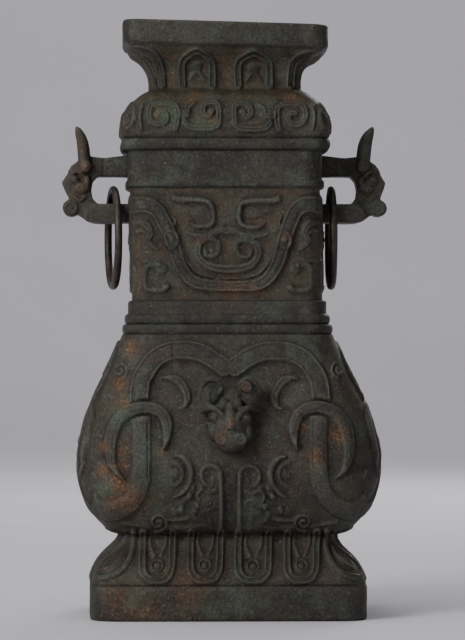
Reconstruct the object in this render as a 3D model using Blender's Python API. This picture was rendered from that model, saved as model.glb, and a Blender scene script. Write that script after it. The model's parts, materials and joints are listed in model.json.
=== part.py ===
# A square bronze hu: a hollow cast wine vessel of rounded rectangular section, with a spreading foot, a low
# belly, a banded neck, two animal-head loop handles and a loose ring hanging in each handle.
# Metres, +Z up, origin on the ground under the middle of the foot. The front looks along -Y.
import math

import bmesh
import bpy
import numpy as np
from mathutils import Matrix, Vector

mm = 0.001

# Heights of the body, from the ground up.
foot_band_top = 32 * mm
waist_height = 77 * mm
belly_widest = 140 * mm
belly_top = 256 * mm
collar_top = 287 * mm
panel_top = 388 * mm
ledge_top = 396 * mm
recess_top = 422 * mm
roll_top = 433 * mm
shoulder_top = 479 * mm
rim_bottom = 518 * mm
body_height = 540 * mm

# Half widths of the body at those heights. Depths follow from the plan's own proportion.
foot_half = 125 * mm
waist_half = 98 * mm
belly_half = 137 * mm
collar_half = 95.5 * mm
panel_half = 86.5 * mm
ledge_half = 90.5 * mm
recess_half = 88.5 * mm
shoulder_half = 95.5 * mm
throat_half = 67.5 * mm
rim_half = 93.5 * mm
depth_share = 0.78

# Rounding of the plan: corner radii, and how far a face swells past its own corners.
foot_corner = 24 * mm
belly_corner = 38 * mm
neck_corner = 15 * mm
rim_corner = 15 * mm
belly_swell = 5 * mm
neck_swell = 1.5 * mm

# Walls.
wall = 4.5 * mm
lip_width = 8 * mm
foot_edge_width = 8 * mm
floor_thickness = 6 * mm
floor_fillet = 22 * mm

# Carving: how far the ribbons stand out, and their widths.
relief_rise = 2.8 * mm
ribbon_edge = 3 * mm
wide_ribbon = 18 * mm
ribbon = 13 * mm
narrow_ribbon = 7 * mm
thin_ribbon = 5 * mm
eye_rise = 1.6 * mm

# Handles: an upper bar, a head, and a flat strap below that the ring hangs on.
handle_reach = 57 * mm
handle_bar_height = 409 * mm
handle_bar_thickness = 17 * mm
handle_bar_width = 27 * mm
strap_top = 375 * mm
strap_thickness = 16.5 * mm
strap_width = 57 * mm
strap_rounding = 3 * mm
head_width = 45 * mm
head_thickness = 25 * mm
horn_tip_height = 445 * mm
horn_base_radius = 5.6 * mm
horn_tip_radius = 1.8 * mm
horn_spread = 15 * mm
muzzle_radius = 8 * mm

# Rings.
ring_radius = 44.2 * mm
ring_strand = 6.6 * mm
ring_clearance = 0.5 * mm
left_ring_gap = 16 * mm
right_ring_gap = 11 * mm
left_ring_turn = math.radians(6.5)

# Belly heads on the two wide faces.
belly_head_height = 184 * mm
belly_head_rise = 24 * mm
belly_head_half = 26 * mm
belly_head_tall = 64 * mm

# Fineness of the meshes.
front_columns = 176
side_columns = 136
row_step = 1.5 * mm
body_triangles = 6580
handle_triangles = 600
belly_head_triangles = 400
ring_steps = 28
ring_sides = 7
cast_voxel = 1.5 * mm


def clear_scene():
    for item in list(bpy.data.objects):
        bpy.data.objects.remove(item, do_unlink=True)


def smooth_curve(points, steps=8):
    """A Catmull-Rom curve through the points."""
    p = np.array(points, float)
    p = np.vstack([2 * p[0] - p[1], p, 2 * p[-1] - p[-2]])
    t = np.linspace(0, 1, steps, endpoint=False)[:, None]
    pieces = []
    for a, b, c, d in zip(p[:-3], p[1:-2], p[2:-1], p[3:]):
        pieces.append(
            0.5 * (2 * b + (c - a) * t + (2 * a - 5 * b + 4 * c - d) * t**2 + (3 * b - a - 3 * c + d) * t**3)
        )
    pieces.append(p[-2:-1])
    return np.vstack(pieces)


# Profile of the body.


def belly_profile():
    """The belly: a full round bottom under the widest height, and a long shoulder above it."""
    low = []
    for height in np.linspace(waist_height, belly_widest, 14):
        share = (belly_widest - height) / (belly_widest - waist_height)
        fullness = max(0.0, 1 - share**2) ** 0.6
        low.append((height, waist_half + (belly_half - waist_half) * fullness))
    rise = belly_top - belly_widest
    spread = belly_half - collar_half
    high = [(0.0, 1.0), (0.1, 0.99), (0.3, 0.85), (0.5, 0.65), (0.7, 0.38), (0.87, 0.15), (1.0, 0.0)]
    upper = smooth_curve([(belly_widest + h * rise, collar_half + w * spread) for h, w in high], 4)
    return low[:-1] + [tuple(p) for p in upper]


def foot_profile():
    """The foot: an upright band, then a hollow curve in to the waist."""
    rise = waist_height - foot_band_top
    spread = foot_half - waist_half
    shares = [(0.0, 1.0), (0.16, 0.92), (0.33, 0.77), (0.5, 0.52), (0.65, 0.26), (0.82, 0.06), (1.0, 0.0)]
    curve = smooth_curve([(foot_band_top + h * rise, waist_half + w * spread) for h, w in shares], 4)
    return [(0.0, foot_half - mm), (mm, foot_half)] + [tuple(p) for p in curve]


def roll(low, high, half, rise):
    """A half-round moulding between two heights."""
    middle = (low + high) / 2
    reach = (high - low) / 2
    points = []
    for angle in np.linspace(-math.pi / 2, math.pi / 2, 7):
        points.append((middle + reach * math.sin(angle), half + rise * math.cos(angle)))
    return points


def collar_profile():
    """Two rolls and a flat fillet between the belly and the neck panel."""
    band = (collar_top - belly_top) / 3.4
    step = (collar_half - panel_half) / 4
    lower = roll(belly_top, belly_top + band, collar_half - step, step)
    upper = roll(belly_top + band, belly_top + 2 * band, collar_half - 2 * step, step)
    flat = collar_half - 2.4 * step
    return lower + upper + [(belly_top + 2.1 * band, flat), (collar_top - mm, flat)]


def neck_profile():
    """The carved panel, a small ledge, the plain recess that the handles spring from, and a roll."""
    return [
        (collar_top, panel_half),
        (panel_top, panel_half),
        (panel_top + mm, ledge_half),
        (ledge_top - mm, ledge_half),
        (ledge_top, recess_half),
        (recess_top, recess_half),
    ] + roll(recess_top + mm / 2, roll_top, shoulder_half - 3 * mm, 3 * mm)


def shoulder_profile():
    """The swelling shoulder: nearly upright above the roll, then rounding in to the throat."""
    rise = shoulder_top - roll_top
    spread = shoulder_half - throat_half
    shares = [(0.03, 0.96), (0.15, 1.0), (0.35, 0.96), (0.55, 0.82), (0.72, 0.62), (0.87, 0.36), (0.97, 0.06)]
    curve = smooth_curve([(roll_top + h * rise, throat_half + w * spread) for h, w in shares], 4)
    return [tuple(p) for p in curve]


def flare_profile():
    """The throat and its flare up to the rim, and the upright rim band."""
    rise = rim_bottom - shoulder_top
    spread = rim_half - throat_half
    shares = [(0.0, 0.0), (0.22, 0.01), (0.45, 0.1), (0.62, 0.24), (0.76, 0.42), (0.9, 0.7), (1.0, 0.86)]
    curve = smooth_curve([(shoulder_top + h * rise, throat_half + w * spread) for h, w in shares], 4)
    rim = [(rim_bottom + mm, rim_half - mm), (rim_bottom + 3 * mm, rim_half)]
    return [tuple(p) for p in curve] + rim + [(body_height - mm, rim_half), (body_height, rim_half - mm)]


def body_profile():
    stretches = [foot_profile(), belly_profile(), collar_profile(), neck_profile(), shoulder_profile(), flare_profile()]
    rows = []
    for stretch in stretches:
        for height, half in stretch:
            if not rows or height > rows[-1][0] + 0.05 * mm:
                rows.append((float(height), float(half)))
    return np.array(rows)


def plain_profile():
    """The body without its mouldings, which the wall's inner side follows."""
    neck = [(collar_top, panel_half), (roll_top - 2 * mm, panel_half)]
    stretches = [foot_profile(), belly_profile()[:-1], neck, shoulder_profile(), flare_profile()]
    return np.array([row for stretch in stretches for row in stretch])


def fine_rows(profile):
    """The profile with extra rows wherever two of its points lie far apart."""
    rows = [profile[0]]
    for low, high in zip(profile[:-1], profile[1:]):
        count = max(1, math.ceil(np.hypot(*(high - low)) / row_step))
        for step in range(1, count + 1):
            rows.append(low + (high - low) * step / count)
    return np.array(rows)


def plan_values(height):
    """Corner radius and face swell at a height."""
    heights = [0, foot_band_top, waist_height, belly_widest, belly_top, collar_top, rim_bottom, body_height]
    corners = [foot_corner, foot_corner, foot_corner, belly_corner, belly_corner * 0.6, neck_corner, rim_corner, rim_corner]
    swells = [neck_swell, neck_swell, neck_swell, belly_swell, neck_swell, neck_swell, neck_swell, neck_swell]
    return np.interp(height, heights, corners), np.interp(height, heights, swells)


def column_marks():
    """Each column's face, and its place on that face from -1 to 1, corner to corner, all the way round."""
    marks = []
    for face in range(4):
        count = front_columns if face % 2 == 0 else side_columns
        for step in range(count):
            marks.append((face, -1 + 2 * step / count))
    return np.array(marks)


def plan_ring(height, half, inset, marks):
    """One closed ring of the plan at a height, and each point's distance from the middle of its face."""
    corner, swell = plan_values(height)
    corner = max(corner - inset, 3 * mm)
    face, place = marks[:, 0].astype(int), marks[:, 1]
    across = np.where(face % 2 == 0, half, half * depth_share) - inset - swell
    outward = np.where(face % 2 == 0, half * depth_share, half) - inset - swell
    flat = across - corner
    reach = flat + corner * math.pi / 4
    along = np.abs(place) * reach
    angle = np.maximum(along - flat, 0) / corner
    side = np.sign(place) * (np.minimum(along, flat) + corner * np.sin(angle))
    out = outward - corner + corner * np.cos(angle) + swell * (1 - place**2)
    # The front face looks along -Y, and the faces follow round by quarter turns.
    turn = face * math.pi / 2
    x = side * np.cos(turn) + out * np.sin(turn)
    y = side * np.sin(turn) - out * np.cos(turn)
    front_reach = half - swell - corner + corner * math.pi / 4
    stretched = np.abs(place) * front_reach
    return np.column_stack([x, y, np.full(len(x), height)]), stretched


# Carving. Each stroke's points are shares of its band's half width and height, on one half of a face.


def band_point(band, point):
    low, high, half = band
    return point[0] * half, low + point[1] * (high - low)


def distance_to(path, u, z):
    """Distance of each (u, z) from a path, and how far along the path the nearest point lies, from 0 to 1."""
    nearest = np.full(u.shape, 1.0)
    along = np.zeros(u.shape)
    steps = np.hypot(*np.diff(path, axis=0).T)
    total = steps.sum()
    start = 0.0
    for a, b, length in zip(path[:-1], path[1:], steps):
        length = max(length, 1e-9)
        way = (b - a) / length
        share = np.clip((u - a[0]) * way[0] + (z - a[1]) * way[1], 0, length)
        gap = np.hypot(u - a[0] - way[0] * share, z - a[1] - way[1] * share)
        closer = gap < nearest
        nearest[closer] = gap[closer]
        along[closer] = ((start + share) / total)[closer]
        start += length
    return nearest, along


def raised(gap, half_width):
    """A flat-topped ribbon with rounded edges: 1 on top, 0 past its half width."""
    share = np.clip((half_width - gap) / ribbon_edge, 0, 1)
    return np.sin(share * math.pi / 2)


def stroke(rise, u, z, band, points, width, end_width=None, height=1.0):
    """Raises a ribbon along a smooth curve, tapering to its end width."""
    path = smooth_curve([band_point(band, p) for p in points], 5)
    reach = max(width, end_width or 0) / 2
    inside = (u > path[:, 0].min() - reach) & (u < path[:, 0].max() + reach)
    inside &= (z > path[:, 1].min() - reach) & (z < path[:, 1].max() + reach)
    if not inside.any():
        return
    gap, along = distance_to(path, u[inside], z[inside])
    widths = width + ((end_width or width) - width) * along
    rise[inside] = np.maximum(rise[inside], relief_rise * height * raised(gap, widths / 2))


def boss(rise, u, z, band, centre, radius, height):
    """Adds a round swelling, such as an eye."""
    cu, cz = band_point(band, centre)
    gap = np.hypot(u - cu, z - cz) / radius
    rise += height * np.sqrt(np.clip(1 - gap**2, 0, 1))


def closed_ring(centre, across, tall, count=10):
    angles = np.linspace(0, 2 * math.pi, count + 1)
    return [(centre[0] + across * math.cos(t), centre[1] + tall * math.sin(t)) for t in angles]


def carve_flare(rise, u, z):
    """Arches round the throat: two to a wide face, and one over each corner."""
    band = (shoulder_top, rim_bottom, rim_half)
    arch = [(-0.163, 0.02), (-0.163, 0.5), (-0.14, 0.68), (-0.07, 0.78), (0, 0.84)]
    arch += [(-p, q) for p, q in arch[-2::-1]]
    stroke(rise, u, z, band, [(0.273 + p, q) for p, q in arch], thin_ribbon + mm)
    stroke(rise, u, z, band, [(0.6, 0.02), (0.62, 0.45), (0.66, 0.7), (0.76, 0.84), (0.95, 0.88)], thin_ribbon + mm)


def carve_shoulder(rise, u, z):
    """Square-cornered hooks about a small eye, in mirrored pairs, with a rib at each corner."""
    band = (roll_top, shoulder_top, shoulder_half)
    hook = [(0.5, 0.64), (0.6, 0.7), (0.7, 0.66), (0.735, 0.45), (0.7, 0.2), (0.6, 0.15), (0.52, 0.2)]
    stroke(rise, u, z, band, hook, thin_ribbon)
    curl = [(0.36, 0.22), (0.3, 0.14), (0.12, 0.13), (0.06, 0.25), (0.055, 0.5), (0.09, 0.66), (0.17, 0.68)]
    stroke(rise, u, z, band, curl + [(0.215, 0.6), (0.2, 0.42)], thin_ribbon)
    stroke(rise, u, z, band, [(0.3, 0.6), (0.35, 0.66), (0.42, 0.62)], thin_ribbon, 2 * mm)
    stroke(rise, u, z, band, [(0.81, 0.05), (0.82, 0.35), (0.8, 0.68)], thin_ribbon)
    boss(rise, u, z, band, (0.4, 0.43), thin_ribbon, relief_rise + eye_rise)
    boss(rise, u, z, band, (0.6, 0.42), thin_ribbon, relief_rise)


def carve_panel(rise, u, z, plain):
    """The neck panel: a dragon ribbon in a deep U with an eye on each arm, and paired spirals within it."""
    band = (collar_top, panel_top, panel_half)
    body = [(0, 0.133), (0.3, 0.159), (0.446, 0.221), (0.513, 0.319), (0.56, 0.425), (0.6, 0.531)]
    body += [(0.643, 0.664), (0.705, 0.779), (0.79, 0.832), (1.1, 0.841)]
    stroke(rise, u, z, band, body, ribbon)
    boss(rise, u, z, band, (0.602, 0.531), narrow_ribbon, eye_rise)
    eye_ring = closed_ring((0.17, 0.434), 0.1, 0.085)
    stroke(rise, u, z, band, eye_ring, narrow_ribbon)
    stroke(rise, u, z, band, [(0, 0.275), (0.1, 0.285), (0.2, 0.32), (0.3, 0.42)], narrow_ribbon, 3 * mm)
    stroke(rise, u, z, band, [(0, 0.52), (0.09, 0.555), (0.2, 0.58), (0.33, 0.59), (0.43, 0.566)], thin_ribbon, 2 * mm)
    hook = [(0.56, 0.885), (0.5, 0.87), (0.3, 0.862), (0.17, 0.85), (0.14, 0.79), (0.14, 0.7), (0.19, 0.65)]
    stroke(rise, u, z, band, hook + [(0.3, 0.645), (0.39, 0.66)], thin_ribbon, 3 * mm)
    if plain:
        return
    stroke(rise, u, z, band, closed_ring((0.745, 0.195), 0.12, 0.11), thin_ribbon)
    stroke(rise, u, z, band, [(0.97, 0.66), (0.87, 0.63), (0.83, 0.55), (0.8, 0.45), (0.76, 0.42)], narrow_ribbon, 3 * mm)


def carve_belly(rise, u, z, plain):
    """The belly: two crossing dragon ribbons to a half face, their trunk, and smaller hooks between them."""
    band = (waist_height, belly_top, belly_half)
    arch = [(0.05, 0.79), (0.104, 0.83), (0.149, 0.86), (0.214, 0.89), (0.325, 0.905), (0.422, 0.885)]
    arch += [(0.494, 0.84), (0.552, 0.78), (0.591, 0.7), (0.6, 0.63)]
    stroke(rise, u, z, band, arch, wide_ribbon)
    loop = [(0.93, 0.27), (0.84, 0.34), (0.795, 0.42), (0.785, 0.49), (0.744, 0.555), (0.675, 0.605)]
    loop += [(0.597, 0.6225), (0.519, 0.61), (0.464, 0.5775), (0.442, 0.525), (0.45, 0.45)]
    stroke(rise, u, z, band, loop, ribbon, narrow_ribbon)
    trunk = [(0.575, 0.57), (0.575, 0.4), (0.58, 0.27), (0.61, 0.19), (0.68, 0.13), (0.8, 0.1), (0.95, 0.09)]
    stroke(rise, u, z, band, trunk, ribbon + 2 * mm)
    curl = [(0.455, 0.77), (0.37, 0.765), (0.3, 0.72), (0.279, 0.67), (0.312, 0.625)]
    stroke(rise, u, z, band, curl, narrow_ribbon, height=0.8)
    stroke(rise, u, z, band, [(0.4, 0.39), (0.32, 0.375), (0.275, 0.33), (0.28, 0.27), (0.37, 0.185)], narrow_ribbon, height=0.8)
    dragon = [(0.065, 0.05), (0.065, 0.22), (0.08, 0.3), (0.13, 0.32), (0.17, 0.28), (0.16, 0.23)]
    stroke(rise, u, z, band, dragon, thin_ribbon + mm, height=0.8)
    stroke(rise, u, z, band, [(0.12, 0.06), (0.28, 0.06), (0.4, 0.08)], narrow_ribbon, height=0.8)
    if not plain:
        boss(rise, u, z, band, (0.15, 0.17), thin_ribbon, relief_rise)
        boss(rise, u, z, band, (0.27, 0.13), thin_ribbon, relief_rise)
        boss(rise, u, z, band, (0.48, 0.09), thin_ribbon, relief_rise)


def carve_foot(rise, u, z):
    """Hanging lappets round the foot, each with a knob, and one over each corner."""
    band = (foot_band_top, waist_height, foot_half)
    for centre in (0.176, 0.521):
        lappet = [(-0.115, 0.9), (-0.115, 0.45), (-0.09, 0.24), (0, 0.13), (0.09, 0.24), (0.115, 0.45), (0.115, 0.9)]
        stroke(rise, u, z, band, [(centre + p, q) for p, q in lappet], thin_ribbon)
        boss(rise, u, z, band, (centre, 0.45), narrow_ribbon * 0.8, relief_rise)
    stroke(rise, u, z, band, [(0.73, 0.9), (0.745, 0.5), (0.79, 0.26), (0.9, 0.14), (1.05, 0.12)], thin_ribbon)


def carving(u, z, plain):
    """How far the surface is raised at each point of the faces."""
    rise = np.zeros(u.shape)
    carve_foot(rise, u, z)
    carve_belly(rise, u, z, plain)
    carve_panel(rise, u, z, plain)
    carve_shoulder(rise, u, z)
    carve_flare(rise, u, z)
    return rise


# The body as one closed skin: under the floor, round the foot's edge, up the outside, over the lip and down inside.


def surface_normals(grid):
    around = np.roll(grid, -1, axis=1) - np.roll(grid, 1, axis=1)
    upward = np.gradient(grid, axis=0)
    normals = np.cross(around, upward)
    return normals / np.linalg.norm(normals, axis=2, keepdims=True)


def outer_grid(profile, marks):
    rows = fine_rows(profile)
    rings = [plan_ring(height, half, 0.0, marks) for height, half in rows]
    grid = np.array([ring[0] for ring in rings])
    u = np.array([ring[1] for ring in rings])
    z = grid[:, :, 2]
    on_side = np.broadcast_to(marks[:, 0] % 2 == 1, u.shape)
    rise = np.where(on_side, carving(u, z, True), carving(u, z, False))
    return grid + surface_normals(grid) * rise[:, :, None]


def wall_inside(profile, height, edge_width):
    """Half width inside the wall at a height. The wall is as thick square to its own slope, and wider at an edge."""
    drops = np.linspace(-wall, wall, 13)
    halves = np.interp(height + drops, profile[:, 0], profile[:, 1])
    inside = (halves - np.sqrt(wall**2 - drops**2)).min()
    if edge_width:
        inside = min(inside, np.interp(height, profile[:, 0], profile[:, 1]) - edge_width)
    return inside


def inner_rings(marks):
    """Rings of the cavity from the lip down to the floor."""
    profile = plain_profile()
    floor = waist_height + floor_thickness
    heights = [body_height, body_height - 2 * mm]
    heights += list(np.linspace(body_height - 8 * mm, floor + floor_fillet, 44))
    heights += [floor + floor_fillet * share for share in (0.7, 0.45, 0.25, 0.1, 0.0)]
    rings = []
    for height in heights:
        inside = wall_inside(profile, height, lip_width if height > rim_bottom else 0.0)
        drop = max(0.0, 1 - (height - floor) / floor_fillet)
        fillet = floor_fillet * (1 - math.sqrt(max(0.0, 1 - drop**2)))
        half = inside + wall
        rings.append(plan_ring(height, half, wall + fillet, marks)[0])
    return rings


def recess_rings(marks):
    """Rings of the hollow under the floor, from its ceiling down to the foot's edge."""
    profile = plain_profile()
    rings = []
    for height in list(np.linspace(waist_height - mm, 6 * mm, 14)) + [0.0]:
        inside = wall_inside(profile, height, foot_edge_width if height < 8 * mm else 0.0)
        rings.append(plan_ring(height, inside + wall, wall, marks)[0])
    return rings


def loft(rings):
    """A closed mesh of stacked rings, with a flat cap at each end."""
    count = len(rings[0])
    verts = np.vstack(rings)
    faces = []
    for row in range(len(rings) - 1):
        for column in range(count):
            following = (column + 1) % count
            a, b = row * count + column, row * count + following
            faces.append((a, b, b + count, a + count))
    faces.append(tuple(range(count))[::-1])
    faces.append(tuple(range((len(rings) - 1) * count, len(rings) * count)))
    return verts, faces


def mesh_object(name, verts, faces):
    mesh = bpy.data.meshes.new(name)
    mesh.from_pydata([tuple(v) for v in verts], [], faces)
    mesh.update()
    item = bpy.data.objects.new(name, mesh)
    bpy.context.scene.collection.objects.link(item)
    return item


def evaluated_mesh(item):
    bpy.context.view_layer.update()
    graph = bpy.context.evaluated_depsgraph_get()
    return bpy.data.meshes.new_from_object(item.evaluated_get(graph))


def apply_modifiers(item):
    mesh = evaluated_mesh(item)
    item.modifiers.clear()
    item.data = mesh


def triangulate(item):
    work = bmesh.new()
    work.from_mesh(item.data)
    bmesh.ops.triangulate(work, faces=work.faces[:])
    work.to_mesh(item.data)
    work.free()


def thin_to(item, triangles):
    """Fewer triangles, most of them kept where the surface turns."""
    triangulate(item)
    modifier = item.modifiers.new("Fewer faces", "DECIMATE")
    modifier.ratio = min(1.0, triangles / len(item.data.polygons))
    modifier.use_collapse_triangulate = True
    apply_modifiers(item)


def flatten_near(item, height, reach):
    """Puts the vertices that lie close to a level back on it."""
    for vertex in item.data.vertices:
        if abs(vertex.co.z - height) < reach:
            vertex.co.z = height


def make_body():
    profile = body_profile()
    marks = column_marks()
    rings = recess_rings(marks) + list(outer_grid(profile, marks)) + inner_rings(marks)
    body = mesh_object("vessel", *loft(rings))
    thin_to(body, body_triangles)
    flatten_near(body, 0.0, 0.45 * mm)
    flatten_near(body, body_height, 0.45 * mm)
    return body, profile


# Handles and heads are built up of rounded lumps, then drawn together into one cast form.


def add_ball(work, centre, radii, turn=0.0):
    place = Matrix.Translation(centre) @ Matrix.Rotation(turn, 4, "Y") @ Matrix.Diagonal((*radii, 1.0))
    bmesh.ops.create_uvsphere(work, u_segments=20, v_segments=12, radius=1.0, matrix=place)


def add_taper(work, start, end, start_radius, end_radius):
    """A tapered rod with round ends."""
    start, end = Vector(start), Vector(end)
    way = end - start
    turn = way.to_track_quat("Z", "Y").to_matrix().to_4x4()
    place = Matrix.Translation((start + end) / 2) @ turn
    bmesh.ops.create_cone(
        work, cap_ends=True, segments=20, radius1=start_radius, radius2=end_radius, depth=way.length, matrix=place
    )
    add_ball(work, start, (start_radius,) * 3)
    add_ball(work, end, (end_radius,) * 3)


def add_block(work, low, high, rounding):
    """A block with rounded edges."""
    size = Vector(high) - Vector(low)
    place = Matrix.Translation((Vector(low) + Vector(high)) / 2) @ Matrix.Diagonal((*size, 1.0))
    made = bmesh.ops.create_cube(work, size=1.0, matrix=place)
    edges = {edge for vertex in made["verts"] for edge in vertex.link_edges}
    bmesh.ops.bevel(work, geom=list(edges), offset=rounding, segments=3, profile=0.5, affect="EDGES")


def cast_form(name, work, triangles, smoothing=3):
    """Joins overlapping lumps into one smooth closed skin."""
    mesh = bpy.data.meshes.new(name)
    work.to_mesh(mesh)
    work.free()
    item = bpy.data.objects.new(name, mesh)
    bpy.context.scene.collection.objects.link(item)
    remesh = item.modifiers.new("One skin", "REMESH")
    remesh.mode = "VOXEL"
    remesh.voxel_size = cast_voxel
    soften = item.modifiers.new("Soften", "SMOOTH")
    soften.iterations = smoothing
    apply_modifiers(item)
    thin_to(item, triangles)
    item.hide_render = True
    item.display_type = "WIRE"
    return item


def make_handle():
    """The handle at +X: bar, head with two horns, rolled muzzle, and the strap under it."""
    work = bmesh.new()
    root = panel_half - wall / 2
    face = panel_half + handle_reach
    inner = face - head_thickness
    bar_low = handle_bar_height - handle_bar_thickness / 2
    bar_high = handle_bar_height + handle_bar_thickness / 2
    add_block(work, (root, -handle_bar_width / 2, bar_low), (inner + 6 * mm, handle_bar_width / 2, bar_high), 5 * mm)
    strap_low = strap_top - strap_thickness
    half = strap_width / 2
    add_block(work, (root, -half, strap_low), (inner + 4 * mm, half, strap_top), strap_rounding)
    add_ball(work, (inner + 4 * mm, 0, strap_low + strap_thickness * 0.55), (12 * mm, half * 0.9, strap_thickness * 0.5))
    middle = (strap_top + bar_high) / 2
    tall = (bar_high - strap_low) / 2
    width = head_width / 2
    centre = inner + head_thickness / 2
    add_ball(work, (centre, 0, middle + tall * 0.35), (head_thickness * 0.52, width, tall * 0.62))
    add_ball(work, (centre + mm, 0, middle - tall * 0.2), (head_thickness * 0.5, width * 0.8, tall * 0.7))
    add_block(
        work,
        (inner, -width * 0.72, strap_low + 4 * mm),
        (face - 5 * mm, width * 0.72, bar_high - 6 * mm),
        5 * mm,
    )
    brow = middle + tall * 0.12
    for side in (-1, 1):
        add_ball(work, (face - 3.5 * mm, side * width * 0.5, brow + 3 * mm), (5 * mm, 9 * mm, 4 * mm))
        add_ball(work, (face - 6 * mm, side * width * 0.62, brow - 4 * mm), (5.5 * mm, 5 * mm, 4.5 * mm))
        add_ball(work, (inner + 5 * mm, side * width * 0.95, brow + 6 * mm), (5 * mm, 4 * mm, 9 * mm))
        foot = (inner + 8 * mm, side * horn_spread, bar_high - 8 * mm)
        waist = (inner + 11 * mm, side * (horn_spread + mm), (bar_high + horn_tip_height) / 2 - 2 * mm)
        tip = (face - 9.5 * mm, side * (horn_spread + 2 * mm), horn_tip_height - horn_tip_radius)
        add_taper(work, foot, waist, horn_base_radius, horn_base_radius * 0.72)
        add_taper(work, waist, tip, horn_base_radius * 0.72, horn_tip_radius)
    add_ball(work, (face - mm, 0, brow + mm), (6 * mm, 6 * mm, 7 * mm))
    roll_centre = (face - 3 * mm, strap_top - 3.4 * mm)
    start = (roll_centre[0], -width * 0.62, roll_centre[1])
    end = (roll_centre[0], width * 0.62, roll_centre[1])
    add_taper(work, start, end, muzzle_radius, muzzle_radius)
    return cast_form("handle_form", work, handle_triangles, 2)


def make_belly_head(profile):
    """The animal head on the front: curled horns above, brows and eyes, and a blunt muzzle below."""
    work = bmesh.new()
    skin = -depth_share * np.interp(belly_head_height, profile[:, 0], profile[:, 1])
    tall = belly_head_tall / 2
    low = belly_head_height - tall
    high = belly_head_height + tall
    front = skin - belly_head_rise
    half = belly_head_half
    add_ball(work, (0, skin + 2 * mm, belly_head_height - 2 * mm), (half * 0.8, belly_head_rise * 0.62, tall * 0.82))
    add_ball(work, (0, skin - belly_head_rise * 0.3, low + tall * 0.42), (half * 0.66, belly_head_rise * 0.66, tall * 0.4))
    add_ball(work, (0, skin - 3 * mm, belly_head_height + tall * 0.2), (half * 0.7, belly_head_rise * 0.55, tall * 0.5))
    for side in (-1, 1):
        horn = (side * half * 0.6, skin - 4 * mm, high - half * 0.42)
        add_ball(work, horn, (half * 0.4, belly_head_rise * 0.48, half * 0.42))
        add_ball(work, (side * half * 0.62, skin - 2 * mm, high - half * 0.95), (half * 0.3, belly_head_rise * 0.42, half * 0.6))
        add_ball(work, (side * half * 0.55, skin - 9 * mm, belly_head_height - 2 * mm), (7 * mm, 7 * mm, 5 * mm))
        add_ball(work, (side * half * 0.42, front + 8 * mm, low + tall * 0.42), (7.5 * mm, 8 * mm, 8 * mm))
    add_ball(work, (0, skin - belly_head_rise * 0.5, belly_head_height - tall * 0.1), (5 * mm, 8 * mm, tall * 0.4))
    return cast_form("belly_head_form", work, belly_head_triangles, 3)


def mirrored(item, name, x=1, y=1):
    """A copy mirrored across the middle of the vessel."""
    mesh = item.data.copy()
    mesh.transform(Matrix.Diagonal((x, y, 1, 1)))
    if x * y < 0:
        mesh.flip_normals()
    copy = bpy.data.objects.new(name, mesh)
    bpy.context.scene.collection.objects.link(copy)
    copy.hide_render = True
    copy.display_type = "WIRE"
    return copy


def hollow_core():
    """The space inside the wall, which trims what the handles and heads put into it."""
    marks = column_marks()[::4]
    rings = inner_rings(marks)[::-1]
    over = rings[-1].copy()
    over[:, 2] += 20 * mm
    core = mesh_object("cavity_core", *loft(rings + [over]))
    core.hide_render = True
    core.display_type = "WIRE"
    return core


def unite(body, others):
    for other in others:
        join = body.modifiers.new("Cast on " + other.name, "BOOLEAN")
        join.operation = "UNION"
        join.object = other


def make_ring(name, side, gap, turn):
    """A round ring resting on the strap's rounded upper edges, its origin on the line that it swings about."""
    across = strap_width / 2 - strap_rounding
    reach = ring_radius - ring_strand / 2 - ring_clearance - strap_rounding
    above = math.sqrt(reach**2 - across**2)
    centre = strap_top - strap_rounding - above
    verts = []
    for step in range(ring_steps):
        angle = 2 * math.pi * (step + 0.5) / ring_steps
        for around in range(ring_sides):
            small = 2 * math.pi * around / ring_sides
            out = ring_radius + ring_strand / 2 * math.cos(small)
            verts.append((ring_strand / 2 * math.sin(small), out * math.sin(angle), out * math.cos(angle)))
    faces = []
    for step in range(ring_steps):
        for around in range(ring_sides):
            a = step * ring_sides + around
            b = step * ring_sides + (around + 1) % ring_sides
            c = ((step + 1) % ring_steps) * ring_sides + (around + 1) % ring_sides
            d = ((step + 1) % ring_steps) * ring_sides + around
            faces.append((a, b, c, d))
    # The swing line lies where the strand's middle passes over the strap's edges.
    pivot = centre + ring_radius * above / reach
    ring = mesh_object(name, [(x, y, z + centre - pivot) for x, y, z in verts], faces)
    work = bmesh.new()
    work.from_mesh(ring.data)
    bmesh.ops.recalc_face_normals(work, faces=work.faces[:])
    work.to_mesh(ring.data)
    work.free()
    ring.location = (side * (panel_half + gap), 0, pivot)
    ring.rotation_euler = (0, 0, turn)
    return ring


def bronze(name, colour, roughness):
    material = bpy.data.materials.new(name)
    material.use_nodes = True
    shader = material.node_tree.nodes["Principled BSDF"]
    shader.inputs["Base Color"].default_value = (*colour, 1.0)
    shader.inputs["Metallic"].default_value = 0.6
    shader.inputs["Roughness"].default_value = roughness
    return material


def main():
    clear_scene()
    body, profile = make_body()
    core = hollow_core()
    right = make_handle()
    left = mirrored(right, "left_handle_form", x=-1)
    front = make_belly_head(profile)
    back = mirrored(front, "back_head_form", y=-1)
    for form in (right, left, front, back):
        trim = form.modifiers.new("Clear of the cavity", "BOOLEAN")
        trim.operation = "DIFFERENCE"
        trim.object = core
    unite(body, [right, left, front, back])
    rings = [
        make_ring("left_ring", -1, left_ring_gap, left_ring_turn),
        make_ring("right_ring", 1, right_ring_gap, 0.0),
    ]
    body.data.materials.append(bronze("patinated_bronze", (0.13, 0.115, 0.095), 0.6))
    for ring in rings:
        ring.data.materials.append(bronze(ring.name + "_bronze", (0.11, 0.1, 0.085), 0.55))
    for item in [body] + rings:
        item.data.shade_smooth()
        item.data.set_sharp_from_angle(angle=math.radians(35))


main()
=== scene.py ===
import json
import math

import bpy
import numpy as np
from mathutils import Matrix, Vector

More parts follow.
